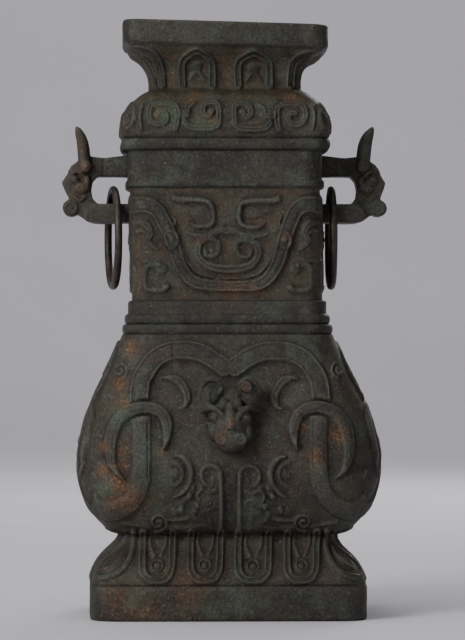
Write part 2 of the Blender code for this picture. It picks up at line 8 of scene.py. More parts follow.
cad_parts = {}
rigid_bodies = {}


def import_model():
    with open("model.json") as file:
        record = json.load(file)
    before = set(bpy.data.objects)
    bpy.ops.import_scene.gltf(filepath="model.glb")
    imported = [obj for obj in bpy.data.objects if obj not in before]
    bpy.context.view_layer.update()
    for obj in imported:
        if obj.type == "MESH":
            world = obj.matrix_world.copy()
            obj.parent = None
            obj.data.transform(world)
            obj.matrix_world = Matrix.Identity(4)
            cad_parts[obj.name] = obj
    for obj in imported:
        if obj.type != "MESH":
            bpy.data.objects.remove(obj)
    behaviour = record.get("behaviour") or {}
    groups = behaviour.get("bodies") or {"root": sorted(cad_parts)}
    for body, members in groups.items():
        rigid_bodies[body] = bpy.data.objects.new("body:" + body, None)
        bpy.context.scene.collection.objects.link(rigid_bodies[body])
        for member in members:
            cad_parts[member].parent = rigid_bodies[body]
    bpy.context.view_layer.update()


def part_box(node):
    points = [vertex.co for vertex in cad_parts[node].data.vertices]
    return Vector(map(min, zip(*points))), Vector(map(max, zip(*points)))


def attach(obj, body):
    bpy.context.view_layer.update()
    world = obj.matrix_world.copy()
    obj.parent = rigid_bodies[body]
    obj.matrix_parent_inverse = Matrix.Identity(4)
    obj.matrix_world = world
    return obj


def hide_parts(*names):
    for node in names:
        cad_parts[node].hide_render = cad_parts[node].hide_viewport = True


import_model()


def plainBox(box):
    return [[float(v) for v in corner] for corner in box]


print("frame loaded")


# small helpers

def meshObject(name, verts, faces):
    mesh = bpy.data.meshes.new(name)
    mesh.from_pydata((np.asarray(verts) * 0.001).tolist(), [], faces)
    mesh.update()
    item = bpy.data.objects.new(name, mesh)
    bpy.context.scene.collection.objects.link(item)
    return item


def bakeModifiers(item):
    bpy.context.view_layer.update()
    graph = bpy.context.evaluated_depsgraph_get()
    evaluated = item.evaluated_get(graph)
    mesh = bpy.data.meshes.new_from_object(evaluated, preserve_all_data_layers=True, depsgraph=graph)
    item.modifiers.clear()
    item.data = mesh


def thinTo(item, triangles):
    have = sum(len(p.vertices) - 2 for p in item.data.polygons)
    if have > triangles:
        modifier = item.modifiers.new("thin", "DECIMATE")
        modifier.ratio = triangles / have
        bakeModifiers(item)


def smoothCurve(points, steps=7):
    # Catmull-Rom through the points
    p = np.array(points, float)
    p = np.vstack([2 * p[0] - p[1], p, 2 * p[-1] - p[-2]])
    t = np.linspace(0, 1, steps, endpoint=False)[:, None]
    pieces = []
    for a, b, c, d in zip(p[:-3], p[1:-2], p[2:-1], p[3:]):
        pieces.append(0.5 * (2 * b + (c - a) * t + (2 * a - 5 * b + 4 * c - d) * t**2
                             + (3 * b - a - 3 * c + d) * t**3))
    pieces.append(p[-2:-1])
    return np.vstack(pieces)


# the vessel's body: the same profile and plan as its CAD solid, in mm

body = {
    "bandTop": 32, "waist": 77, "widest": 140, "bellyTop": 256, "collarTop": 287,
    "panelTop": 388, "ledgeTop": 396, "recessTop": 422, "rollTop": 433,
    "shoulderTop": 479, "rimBottom": 518, "height": 540,
    "footHalf": 125, "waistHalf": 98, "bellyHalf": 137, "collarHalf": 95.5, "panelHalf": 86.5,
    "ledgeHalf": 90.5, "recessHalf": 88.5, "shoulderHalf": 95.5, "throatHalf": 67.5, "rimHalf": 93.5,
    "depthShare": 0.78,
    "footCorner": 24, "bellyCorner": 38, "neckCorner": 15, "bellySwell": 5, "neckSwell": 1.5,
    "wall": 4.5, "lipWidth": 8, "floor": 6, "floorFillet": 22,
    "lipDrops": (0, 0.8, 2.5), "lipRounding": 1.5, "filletSteps": (0.7, 0.45, 0.25, 0.1, 0),
    # curves of the side line: (share of the height, share of the spread)
    "footCurve": [(0, 1), (0.16, 0.92), (0.33, 0.77), (0.5, 0.52), (0.65, 0.26), (0.82, 0.06), (1, 0)],
    "lowBellyPower": 0.6,
    "bellyCurve": [(0, 1), (0.1, 0.99), (0.3, 0.85), (0.5, 0.65), (0.7, 0.38), (0.87, 0.15), (1, 0)],
    "shoulderCurve": [(0.03, 0.96), (0.15, 1), (0.35, 0.96), (0.55, 0.82), (0.72, 0.62), (0.87, 0.36),
                      (0.97, 0.06)],
    "flareCurve": [(0, 0), (0.22, 0.01), (0.45, 0.1), (0.62, 0.24), (0.76, 0.42), (0.9, 0.7), (1, 0.86)],
    "frontColumns": 236, "backColumns": 150, "sideColumns": 124, "rowStep": 1.2,
    "carvedZones": [(36, 254), (288, 387), (436, 515)],
    # little earth is left on the belly, more in the neck and foot
    "earthHeights": [0, 70, 85, 250, 290, 380, 440, 480],
    "earthShares": [0.7, 0.8, 0.3, 0.3, 0.85, 0.85, 0.6, 1],
    # a hand-cut model is never quite regular: how far its lines stray across and up
    "strayAcross": 0.5, "strayAlong": 0.4, "strayUp": 0.5, "strayZone": (40, 515),
    "broadDent": 0.28, "smallDent": 0.12,
    "sideRelief": 0.7, "triangles": 146000,
}
# the old casting leans a little: how far its middle stands off the axis at each height
lean = {"heights": [0, 150, 290, 340, 400, 455, 540], "shifts": [1.3, 2.4, 1.0, 0.4, -1.2, -0.5, -0.9]}
# and its rim sags towards the right
rimSag = {"from": 496, "over": 22, "drop": 5.0, "bandFrom": 500, "belowBand": 0.6}


def shares(low, rise, base, spread, points, steps=6):
    return [tuple(p) for p in smoothCurve([(low + h * rise, base + w * spread) for h, w in points], steps)]


def roll(low, high, half, rise):
    angles = np.linspace(-math.pi / 2, math.pi / 2, 13)
    return [((low + high) / 2 + (high - low) / 2 * math.sin(a), half + rise * math.cos(a)) for a in angles]


def bodyProfile(mouldings=True):
    b = body
    foot = shares(b["bandTop"], b["waist"] - b["bandTop"], b["waistHalf"], b["footHalf"] - b["waistHalf"],
                  b["footCurve"])
    belly = []
    for height in np.linspace(b["waist"], b["widest"], 26):
        share = (b["widest"] - height) / (b["widest"] - b["waist"])
        fullness = max(0, 1 - share**2) ** b["lowBellyPower"]
        belly.append((height, b["waistHalf"] + (b["bellyHalf"] - b["waistHalf"]) * fullness))
    belly += shares(b["widest"], b["bellyTop"] - b["widest"], b["collarHalf"], b["bellyHalf"] - b["collarHalf"],
                    b["bellyCurve"])[1:]
    # the collar: two beads and a flat band above them
    step = (b["collarHalf"] - b["panelHalf"]) / 4
    bead = (b["collarTop"] - b["bellyTop"]) / 3.4
    bandHalf = b["collarHalf"] - 2.4 * step
    collar = roll(b["bellyTop"], b["bellyTop"] + bead, b["collarHalf"] - step, step)
    collar += roll(b["bellyTop"] + bead, b["bellyTop"] + 2 * bead, b["collarHalf"] - 2 * step, step)
    collar += [(b["bellyTop"] + 2.1 * bead, bandHalf), (b["collarTop"] - 1.5, bandHalf),
               (b["collarTop"] - 0.6, b["panelHalf"] + 2)]
    neck = [(b["collarTop"], b["panelHalf"]), (b["panelTop"] - 2, b["panelHalf"]),
            (b["panelTop"], b["panelHalf"] + 0.6), (b["panelTop"] + 1.5, b["ledgeHalf"]),
            (b["ledgeTop"] - 2, b["ledgeHalf"]), (b["ledgeTop"], b["recessHalf"] + 0.4),
            (b["ledgeTop"] + 1.5, b["recessHalf"]), (b["recessTop"], b["recessHalf"])]
    neck += roll(b["recessTop"] + 0.5, b["rollTop"], b["shoulderHalf"] - 3, 3)
    if not mouldings:
        neck = [(b["collarTop"], b["panelHalf"]), (b["rollTop"] - 2, b["panelHalf"])]
        collar = []
    shoulder = shares(b["rollTop"], b["shoulderTop"] - b["rollTop"], b["throatHalf"],
                      b["shoulderHalf"] - b["throatHalf"], b["shoulderCurve"])
    flare = shares(b["shoulderTop"], b["rimBottom"] - b["shoulderTop"], b["throatHalf"],
                   b["rimHalf"] - b["throatHalf"], b["flareCurve"])
    rim = [(b["rimBottom"] + 1, b["rimHalf"] - 1), (b["rimBottom"] + 3, b["rimHalf"]),
           (b["height"] - 1.6, b["rimHalf"]), (b["height"] - 0.4, b["rimHalf"] - 0.6),
           (b["height"], b["rimHalf"] - 1.8)]
    rows = [(0, b["footHalf"] - 2), (0.5, b["footHalf"] - 0.7), (2, b["footHalf"])]
    for height, half in foot + belly + collar + neck + shoulder + flare + rim:
        if height > rows[-1][0] + 0.05:
            rows.append((height, half))
    return np.array(rows, float)


def planRing(height, half, inset, face, place):
    b = body
    corner = np.interp(height, [0, b["waist"], b["widest"], b["bellyTop"], b["collarTop"], b["height"]],
                       [b["footCorner"], b["footCorner"], b["bellyCorner"], b["bellyCorner"] * 0.6,
                        b["neckCorner"], b["neckCorner"]])
    swell = np.interp(height, [0, b["waist"], b["widest"], b["bellyTop"], b["height"]],
                      [b["neckSwell"], b["neckSwell"], b["bellySwell"], b["neckSwell"], b["neckSwell"]])
    frontReach = half - swell - corner + corner * math.pi / 4
    corner = max(corner - inset, 3)
    wide = face % 2 == 0
    across = np.where(wide, half, half * b["depthShare"]) - inset - swell
    outward = np.where(wide, half * b["depthShare"], half) - inset - swell
    flat = across - corner
    along = np.abs(place) * (flat + corner * math.pi / 4)
    angle = np.maximum(along - flat, 0) / corner
    side = np.sign(place) * (np.minimum(along, flat) + corner * np.sin(angle))
    out = outward - corner + corner * np.cos(angle) + swell * (1 - place**2)
    turn = face * math.pi / 2
    x = side * np.cos(turn) + out * np.sin(turn)
    y = side * np.sin(turn) - out * np.cos(turn)
    return np.column_stack([x, y, np.full(len(x), height)]), place * frontReach


# carving: each stroke is a smooth line of (distance from the middle, height) in mm,
# laid on both halves of a face; u is the distance along the face, z the height

def pathDistance(path, u, z):
    nearest = np.full(u.shape, 1e3)
    along = np.zeros(u.shape)
    lengths = np.hypot(*np.diff(path, axis=0).T)
    start = 0.0
    for a, b, length in zip(path[:-1], path[1:], np.maximum(lengths, 1e-6)):
        way = (b - a) / length
        share = np.clip((u - a[0]) * way[0] + (z - a[1]) * way[1], 0, length)
        gap = np.hypot(u - a[0] - way[0] * share, z - a[1] - way[1] * share)
        closer = gap < nearest
        nearest[closer] = gap[closer]
        along[closer] = ((start + share) / lengths.sum())[closer]
        start += length
    return nearest, along


# a stroke may have a raised rim just inside its edge, with a fine cut beside it
strokeEdge = {"rimInset": 2, "rimWidth": 0.8, "rimFrom": 2.6, "cutInset": 3.7, "cutWidth": 1.0, "cutFrom": 4,
              "cutShare": 0.8, "clearance": 1.8}


def lay(rise, u, z, points, width, end=None, high=2.7, rims=0.0, over=False, soft=3.0, tips=(0, 0)):
    # tips: the share of the stroke over which each end narrows to a point
    path = smoothCurve(points)
    reach = max(width, end or 0) / 2 + 3
    near = (u > path[:, 0].min() - reach) & (u < path[:, 0].max() + reach)
    near &= (z > path[:, 1].min() - reach) & (z < path[:, 1].max() + reach)
    if not near.any():
        return
    gap, along = pathDistance(path, u[near], z[near])
    half = (width + ((end or width) - width) * along) / 2
    for tip, way in zip(tips, (along, 1 - along)):
        if tip:
            half = half * np.sqrt(np.clip(way / tip, 0.04, 1))
    edge = np.minimum(soft, half)
    own = high * np.sin(np.clip((half - gap) / edge, 0, 1) * math.pi / 2)
    e = strokeEdge
    if rims:
        rim = np.exp(-(((gap - half + e["rimInset"]) / e["rimWidth"]) ** 2))
        cut = np.exp(-(((gap - half + e["cutInset"]) / e["cutWidth"]) ** 2))
        own += rims * rim * (half > e["rimFrom"])
        own -= rims * e["cutShare"] * cut * (half > e["cutFrom"])
    if over:
        # it passes over what lies there already
        rise[near] *= 1 - np.clip((half + e["clearance"] - gap) / e["clearance"], 0, 1)
    rise[near] = np.where(gap < half, np.maximum(rise[near], own), rise[near])


def dome(rise, u, z, centre, radius, high, tall=1.0):
    gap = np.hypot(u - centre[0], (z - centre[1]) / tall) / radius
    rise += high * np.sqrt(np.clip(1 - gap**2, 0, 1))


def groove(rise, u, z, points, width=1.4, deep=0.8):
    path = smoothCurve(points)
    near = (u > path[:, 0].min() - 3) & (u < path[:, 0].max() + 3)
    near &= (z > path[:, 1].min() - 3) & (z < path[:, 1].max() + 3)
    gap, _ = pathDistance(path, u[near], z[near])
    rise[near] -= deep * np.exp(-((gap / (width / 2)) ** 2))


def ringPoints(centre, radius, tall=1.0, count=12):
    angles = np.linspace(0, 2 * math.pi, count + 1)
    return [(centre[0] + radius * math.cos(a), centre[1] + radius * tall * math.sin(a)) for a in angles]


def spiralPoints(centre, start, end, turns, first=0.0, count=14):
    # winds from the start radius to the end radius
    points = []
    for share in np.linspace(0, 1, count):
        angle = first + turns * 2 * math.pi * share
        radius = start + (end - start) * share
        points.append((centre[0] + radius * math.cos(angle), centre[1] + radius * math.sin(angle)))
    return points


def mirroredLine(middle, half):
    # a line given up to its top or bottom point, and carried on down the other side of its middle
    return [(middle + p, q) for p, q in half + [(-p, q) for p, q in half[-2::-1]]]


def carveStrokes(rise, u, z, strokes):
    # drawn in order; a channel is a groove down the ridge, given as its width and depth
    for stroke in strokes.values():
        sizes = {name: size for name, size in stroke.items()
                 if name not in ("ridge", "channel", "groove", "domes")}
        if "domes" in stroke:
            for across, height, radius in stroke["domes"]:
                dome(rise, u, z, (across, height), radius, **sizes)
        elif "groove" in stroke:
            groove(rise, u, z, stroke["groove"], **sizes)
        else:
            lay(rise, u, z, stroke["ridge"], **sizes)
            if "channel" in stroke:
                groove(rise, u, z, stroke["ridge"], *stroke["channel"])


footBand = {"edge": 31.2, "proud": 0.7, "cut": 32, "cutDepth": 1.0, "cutWidth": 0.9}
footLappets = {
    "middles": (21.4, 64.6),
    "outline": [(-13.3, 80), (-13.3, 54), (-12.1, 44), (-7.3, 38), (0, 36.8)],
    "lobe": [(6.6, 78), (7.2, 70), (5.4, 63.5), (2.8, 58)],
    "knobHeight": 49.6,
}
footCorner = {
    "lappet": {"ridge": [(86.6, 80), (87.4, 61.5), (92.6, 50), (102, 42), (114, 38.6), (128, 38)],
               "width": 6.4, "rims": 0.8, "high": 2.2},
    "line": {"ridge": [(95, 80), (95.4, 62), (101, 52.6), (112, 47), (124, 45.6)], "width": 3, "high": 1.5},
}


def carveFoot(rise, u, z):
    # the plain band stands proud of the carved part, with a cut line above it
    band = footBand
    rise += band["proud"] * np.clip((band["edge"] - z) / 0.8, 0, 1) * np.clip(z / 3, 0, 1)
    rise -= band["cutDepth"] * np.exp(-(((z - band["cut"]) / band["cutWidth"]) ** 2))
    f = footLappets
    for middle in f["middles"]:
        lobes = [[(middle + side * p, q) for p, q in f["lobe"]] for side in (-1, 1)]
        carveStrokes(rise, u, z, {
            "lappet": {"ridge": mirroredLine(middle, f["outline"]), "width": 8.8, "rims": 1.0, "high": 2.2},
            "ring": {"ridge": ringPoints((middle, f["knobHeight"]), 5), "width": 2.2, "high": 1.9, "soft": 1.1},
            "knob": {"domes": [(middle, f["knobHeight"], 3.2)], "high": 1.6},
            "leftLobe": {"ridge": lobes[0], "width": 5, "end": 3.6, "high": 1.7},
            "rightLobe": {"ridge": lobes[1], "width": 5, "end": 3.6, "high": 1.7},
        })
    carveStrokes(rise, u, z, footCorner)


bellyEar = [(9, 130), (11, 137), (17.6, 139.6), (24, 136), (25.4, 128.6), (21, 122), (15.6, 122.6),
            (15.4, 128.4)]
# the broad forms, on all four faces
belly = {
    "arch": {"ridge": [(4.6, 226), (12.2, 231.5), (22, 237.4), (33.6, 240.8), (44.3, 241.2), (55.9, 239.4),
                       (66.6, 233.6), (73.6, 225.2), (79, 215.4), (81, 204), (81.5, 194)],
             "width": 18.5, "rims": 0.8, "high": 2.6, "soft": 2.4},
    "crescent": {"ridge": [(61, 216.4), (53, 216.6), (46, 213.4), (40.6, 206), (38.4, 198.4), (41, 191.6),
                           (47, 189.2)],
                 "width": 10, "end": 8, "high": 2.5, "rims": 0.5, "tips": (0.3, 0.3)},
    "trunk": {"ridge": [(79, 185), (79, 170), (78.8, 144), (80, 125.5), (85, 112.5), (94, 103), (106.7, 98.4),
                        (119, 101), (128, 110)],
              "width": 17.5, "end": 18, "rims": 0.5, "high": 3.2, "over": True, "soft": 5},
    "loop": {"ridge": [(94.5, 128), (100.5, 134), (104.6, 143), (106, 157.5), (103.4, 172.7), (95.1, 184.6),
                       (82, 190.4), (69.3, 189.8), (60, 184), (56.3, 173), (57, 162), (59.5, 153.5)],
             "width": 14.5, "end": 11.5, "rims": 0.7, "high": 3.8, "over": True, "soft": 4.5,
             "tips": (0.3, 0.16)},
    "trunkLine": {"groove": [(73.4, 178), (73.2, 150), (73.8, 128)], "width": 1.3, "deep": 0.8},
    "disc": {"ridge": [(50, 148), (42.5, 146.4), (36.6, 139.5), (35, 131), (37.8, 121.4), (44, 114.6),
                       (51, 111)],
             "width": 7.4, "end": 6, "high": 2.4, "rims": 0.5, "tips": (0.2, 0.2)},
    "innerDisc": {"ridge": [(51, 142), (45, 139), (42.6, 132), (45, 125), (50, 121)],
                  "width": 6, "end": 4, "high": 1.6},
    "discHeart": {"domes": [(49.5, 131, 4.5)], "high": 1.2},
    "sweep": {"ridge": [(22, 85), (33, 82.5), (45, 82), (57, 83.6)], "width": 7.5, "end": 5, "high": 1.8,
              "channel": (1.5, 0.6)},
    "chest": {"ridge": [(17, 131), (17.6, 110), (19, 88)], "width": 19, "end": 23, "high": 1.2},
    "spine": {"ridge": [(8.6, 134), (8.2, 124), (8, 110), (8, 97), (8.4, 84)], "width": 4.6, "end": 5,
              "high": 2.9, "soft": 1.8},
    "ear": {"ridge": bellyEar, "width": 5.4, "end": 4, "high": 2.6, "soft": 2},
}
# the small forms between them, on the front alone
bellyDetail = {
    "earChannel": {"groove": bellyEar, "width": 1.3, "deep": 0.8},
    "foreleg": {"ridge": [(24.6, 97.6), (20, 98), (18.4, 92), (17.6, 84)], "width": 6, "end": 6.4, "high": 2.2,
                "channel": (1.4, 0.6)},
    "mane": {"ridge": [(34, 120), (37, 112), (43, 106), (44.5, 99)], "width": 7.5, "end": 4.4, "high": 1.9,
             "channel": (1.5, 0.7)},
    "neckLine": {"ridge": [(13, 118), (19, 115), (25, 117.6), (29.6, 113.4), (28, 107.6)],
                 "width": 4.6, "end": 3.6, "high": 2.3, "soft": 1.8},
    "hip": {"ridge": spiralPoints((18.4, 106), 0.8, 5.6, 1.4, 2.6), "width": 3.2, "high": 2.2, "soft": 1.4},
    "tail": {"ridge": [(27, 104), (33, 97), (30, 90)], "width": 7, "end": 5, "high": 1.5},
    "innerLeaf": {"ridge": [(38, 92), (48, 90), (57, 91)], "width": 5, "end": 3, "high": 1.4},
    "outerLeaf": {"ridge": [(72, 84), (84, 86), (96, 88)], "width": 5, "end": 3, "high": 1.3},
    "knobs": {"domes": [(43.6, 99, 4.2), (50.5, 97.4, 4.4), (31, 104, 3), (37, 113, 3), (27, 120, 3)],
              "high": 1.5},
    "swirl": {"ridge": spiralPoints((65, 88.6), 1, 9, 1.7, 0.6), "width": 3.4, "high": 1.7, "soft": 1.4},
    "sideCurl": {"ridge": spiralPoints((99, 224), 1.5, 8, 1.4, 2.0), "width": 3.6, "high": 2, "soft": 1.6},
    "sideHook": {"ridge": [(104, 250), (101, 240), (106, 229), (112, 221), (118, 212), (122, 200)],
                 "width": 5, "end": 8, "high": 2, "channel": (1.5, 0.6)},
    "edgeRidge": {"ridge": [(126, 182), (129, 168), (131, 152), (127, 140)], "width": 8, "end": 3, "high": 2},
    "edgeLine": {"ridge": [(121, 128), (126, 138), (130, 150)], "width": 3, "end": 2, "high": 1.8},
    "upperSeam": {"groove": [(50.5, 254), (50.5, 226)], "width": 1.1, "deep": 0.5},
    "lowerSeam": {"groove": [(50.5, 150), (50.5, 110)], "width": 1.1, "deep": 0.45},
}
neck = {
    # the dragon's body, from the middle of the deep U up each arm and out over the corner
    "body": {"ridge": [(0, 299.4), (13, 299.6), (25.7, 301), (34.7, 305.9), (41.9, 315.9), (46.4, 326.7),
                       (49.4, 337.5), (52.7, 346.5), (56.3, 355.5), (61.7, 366.3), (68.9, 371.7), (77.9, 373),
                       (100, 373)],
             "width": 11.5, "end": 17.5, "rims": 0.9},
    "innerLine": {"ridge": [(0, 306.4), (13, 307), (27, 311), (36.3, 321), (41, 332), (43.6, 342)],
                  "width": 3.2, "end": 2.4, "high": 1.7, "soft": 1.6},
    "eye": {"domes": [(50.6, 341.2, 6.8)], "high": 1.3, "tall": 1.3},
    "eyeRing": {"ridge": ringPoints((50.6, 341.2), 6.0, 1.3), "width": 2.6, "high": 4.4, "soft": 1.3},
    "pupil": {"domes": [(50.6, 341.2, 2.2)], "high": 1.4},
    "spiral": {"ridge": [(0, 314.6), (11.3, 315.6), (20.9, 319.4), (27, 328), (25.2, 337.4), (17.2, 342.4),
                         (9.4, 339.4), (7.8, 332), (12.2, 326.4), (18.6, 326.6), (20.4, 331.4)],
               "width": 10, "end": 4.4, "high": 2.7, "channel": (2.2, 1.1)},
    "hookHeart": {"ridge": [(24, 365.5), (32, 366), (38, 369)], "width": 12, "end": 5, "high": 1.1},
    "hook": {"ridge": [(46.5, 378), (42, 377.2), (32.9, 376.8), (22.1, 376.3), (14, 373.6), (11.4, 365),
                       (12.4, 356.4), (18.5, 353), (27.5, 353), (34, 356.5)],
             "width": 7.4, "end": 5.4, "high": 2.8, "rims": 0.3, "tips": (0, 0.15)},
    "hookHorn": {"ridge": [(38, 375.5), (44, 378), (47, 380.5)], "width": 7, "end": 4, "high": 2.3},
    "brow": {"ridge": [(0, 349), (7, 349.6), (11.3, 346.9), (18.5, 344.9), (29, 345), (37, 347.5)],
             "width": 8, "end": 4.5, "high": 2.2, "tips": (0, 0.25), "channel": (1.5, 0.6)},
    "spur": {"ridge": [(49, 352), (46.5, 357.5), (49, 362)], "width": 5, "end": 2, "high": 1.8},
    "bracket": {"ridge": [(63.5, 319.6), (72.3, 318), (75.4, 311.5), (75.2, 301.4), (71.6, 296.4), (60, 295.6),
                          (54.8, 298.6)],
                "width": 6.4, "end": 5.6, "high": 2.4, "channel": (1.5, 0.7)},
    "bracketEye": {"domes": [(60, 315, 5.6)], "high": 2.2},
    "bracketTip": {"domes": [(56, 298.5, 3.8)], "high": 1.6},
    "leaf": {"ridge": [(82, 357.5), (73, 354.4), (69.6, 347), (72.5, 341), (68, 335), (62, 331.6)],
             "width": 10, "end": 5, "high": 2.3, "tips": (0.2, 0.25), "channel": (2, 0.8)},
    "leafHook": {"ridge": [(84, 348), (77, 350), (74, 347)], "width": 6, "end": 3, "high": 1.8},
    "cornerLine": {"ridge": [(61, 323.4), (75, 322), (100, 322)], "width": 2.4, "high": 1.3, "soft": 1.2},
    "seam": {"groove": [(0, 364), (0, 340)], "width": 1.6, "deep": 0.4},
}
shoulder = {
    "squareHook": {"ridge": [(13.6, 455.5), (17.6, 451.5), (21.3, 455), (20, 461.5), (12.5, 464), (7.4, 461),
                             (6.8, 452), (7.7, 444.6), (13, 441.2), (24.9, 440.6), (34, 442), (38.5, 446)],
                   "width": 6.4, "high": 2.3, "soft": 1.9, "channel": (1.7, 0.9)},
    "roundHook": {"ridge": [(46.5, 440.5), (45, 446), (44.5, 453), (45.4, 459.5), (51, 463), (61, 463.4),
                            (68.2, 461.5), (70.6, 453.7), (68, 446.5), (61, 444.5), (54.8, 448), (56, 454),
                            (61, 454.5)],
                  "width": 6.4, "high": 2.3, "soft": 1.9, "channel": (1.7, 0.9)},
    "horn": {"ridge": [(29.5, 463), (33.5, 459), (34, 455)], "width": 5, "end": 2.5, "high": 2},
    "eye": {"domes": [(38.3, 453.4, 5.6)], "high": 2.8},
    "hookTip": {"domes": [(13.9, 455.2, 3.6)], "high": 1.5},
    "rib": {"ridge": [(76.3, 462), (78.6, 452), (77.2, 440.5)], "width": 5, "end": 3, "high": 2.1},
    "corner": {"ridge": [(85, 461), (84, 450), (88, 442.5), (95, 443), (96, 452), (92, 458)],
               "width": 6.4, "high": 2},
}
flare = {
    "arch": {"ridge": mirroredLine(25.4, [(-13.9, 481), (-13.9, 499), (-11.5, 505.5), (-6.95, 509.5),
                                          (0, 513.1)]),
             "width": 9, "rims": 0.9, "high": 2.2},
    "cornerArch": {"ridge": [(58, 481), (59, 494), (62.5, 505), (70, 511.5), (84, 514.5), (100, 515.5)],
                   "width": 10, "rims": 0.9, "high": 2.2},
    "peak": {"domes": [(25.4, 497.5, 5.2)], "high": 1.9},
    "leftLeg": {"ridge": [(24.2, 493), (21.4, 489.5), (19, 486)], "width": 4.4, "end": 5, "high": 1.5},
    "rightLeg": {"ridge": [(26.6, 493), (29.4, 489.5), (31.8, 486)], "width": 4.4, "end": 5, "high": 1.5},
}


def carve(u, z, plain):
    rise = np.zeros(u.shape)
    carveFoot(rise, u, z)
    carveStrokes(rise, u, z, belly)
    if not plain:
        carveStrokes(rise, u, z, bellyDetail)
    for zone in (neck, shoulder, flare):
        carveStrokes(rise, u, z, zone)
    return rise


# where rust-orange and green stand on the front: (distance from the middle, height, radius, strength)
patches = {
    "rust": [(-96, 153, 5, 0.6), (-97, 139, 6, 0.7), (-101, 122, 9, 0.8), (-88, 111, 11, 0.8),
             (-104, 108, 6, 0.7), (-113, 135, 6, 0.7), (-112, 156, 5, 0.8), (-89, 243, 5, 0.9),
             (-98, 212, 5, 1), (-95, 194, 5, 0.9),
             (-27, 469, 5, 1), (60, 469, 5, 0.9), (64, 173, 3.6, 1), (95, 167, 6.5, 0.9), (75, 147, 8, 0.6),
             (-60, 150, 5, 0.4), (-82, 10, 20, 0.45), (-104, 22, 9, 0.5), (3, 297, 13, 0.4), (24, 297, 6, 0.4),
             (-62, 455, 6, 0.6), (-14, 449, 5, 0.6), (53, 342, 4, 0.5), (-40, 26, 20, 0.3), (-24, 341, 4, 0.4),
             (30, 356, 5, 0.35), (0, 178, 4, 0.5), (-8, 165, 6, 0.45), (13, 210, 4, 0.4), (-131, 430, 8, 0.4),
             (-127, 408, 8, 0.45), (-131, 392, 9, 0.3)],
    "malachite": [(-96, 182, 9, 0.75), (-113, 118, 5, 1), (-107, 122, 4, 0.9), (-54, 453, 14, 0.6),
                  (-20, 444, 12, 0.5), (-85, 18, 6, 0.7), (-17, 10, 7, 0.6), (-63, 316, 6, 0.4),
                  (-72, 150, 12, 0.35), (-76, 124, 10, 0.3), (30, 465, 9, 0.3), (-90, 196, 6, 0.4)],
}


def patchField(x, z, front, spots):
    field = np.zeros(x.shape)
    for px, pz, radius, strength in spots:
        field = np.maximum(field, strength * np.exp(-((x - px) ** 2 + (z - pz) ** 2) / radius**2))
    return field * front


def paintFields(item, fields):
    for name, field in fields.items():
        layer = item.data.attributes.new(name, "FLOAT", "POINT")
        layer.data.foreach_set("value", field.astype(np.float32))


def blurred(field, reach):
    total = np.zeros(field.shape)
    for shift in range(-reach, reach + 1):
        total += np.roll(field, shift, axis=1)
    field = total / (2 * reach + 1)
    total = np.zeros(field.shape)
    for shift in range(-reach, reach + 1):
        rows = np.clip(np.arange(len(field)) + shift, 0, len(field) - 1)
        total += field[rows]
    return total / (2 * reach + 1)


def wallInside(profile, height, edgeWidth):
    wall = body["wall"]
    drops = np.linspace(-wall, wall, 13)
    inside = (np.interp(height + drops, profile[:, 0], profile[:, 1]) - np.sqrt(wall**2 - drops**2)).min()
    if edgeWidth:
        inside = min(inside, np.interp(height, profile[:, 0], profile[:, 1]) - edgeWidth)
    return inside


def strayLines(u, z, face):
    low, high = body["strayZone"]
    across = body["strayAcross"] * np.sin(z / 19 + face * 1.7)
    along = body["strayAlong"] * np.sin(u / 17 + 2)
    up = body["strayUp"] * np.sin(u / 21 + face) * ((z > low) & (z < high))
    return np.abs(u + across + along), z + up


def slowDents(x, y, z):
    # slow dents and swells of an old casting
    dents = body["broadDent"] * np.sin(x / 13 + z / 29) * np.sin(y / 17 - z / 23)
    dents += body["smallDent"] * np.sin(x / 5.3 + 1) * np.sin(z / 4.7)
    return dents * ((z > 3) & (z < body["height"] - 3))


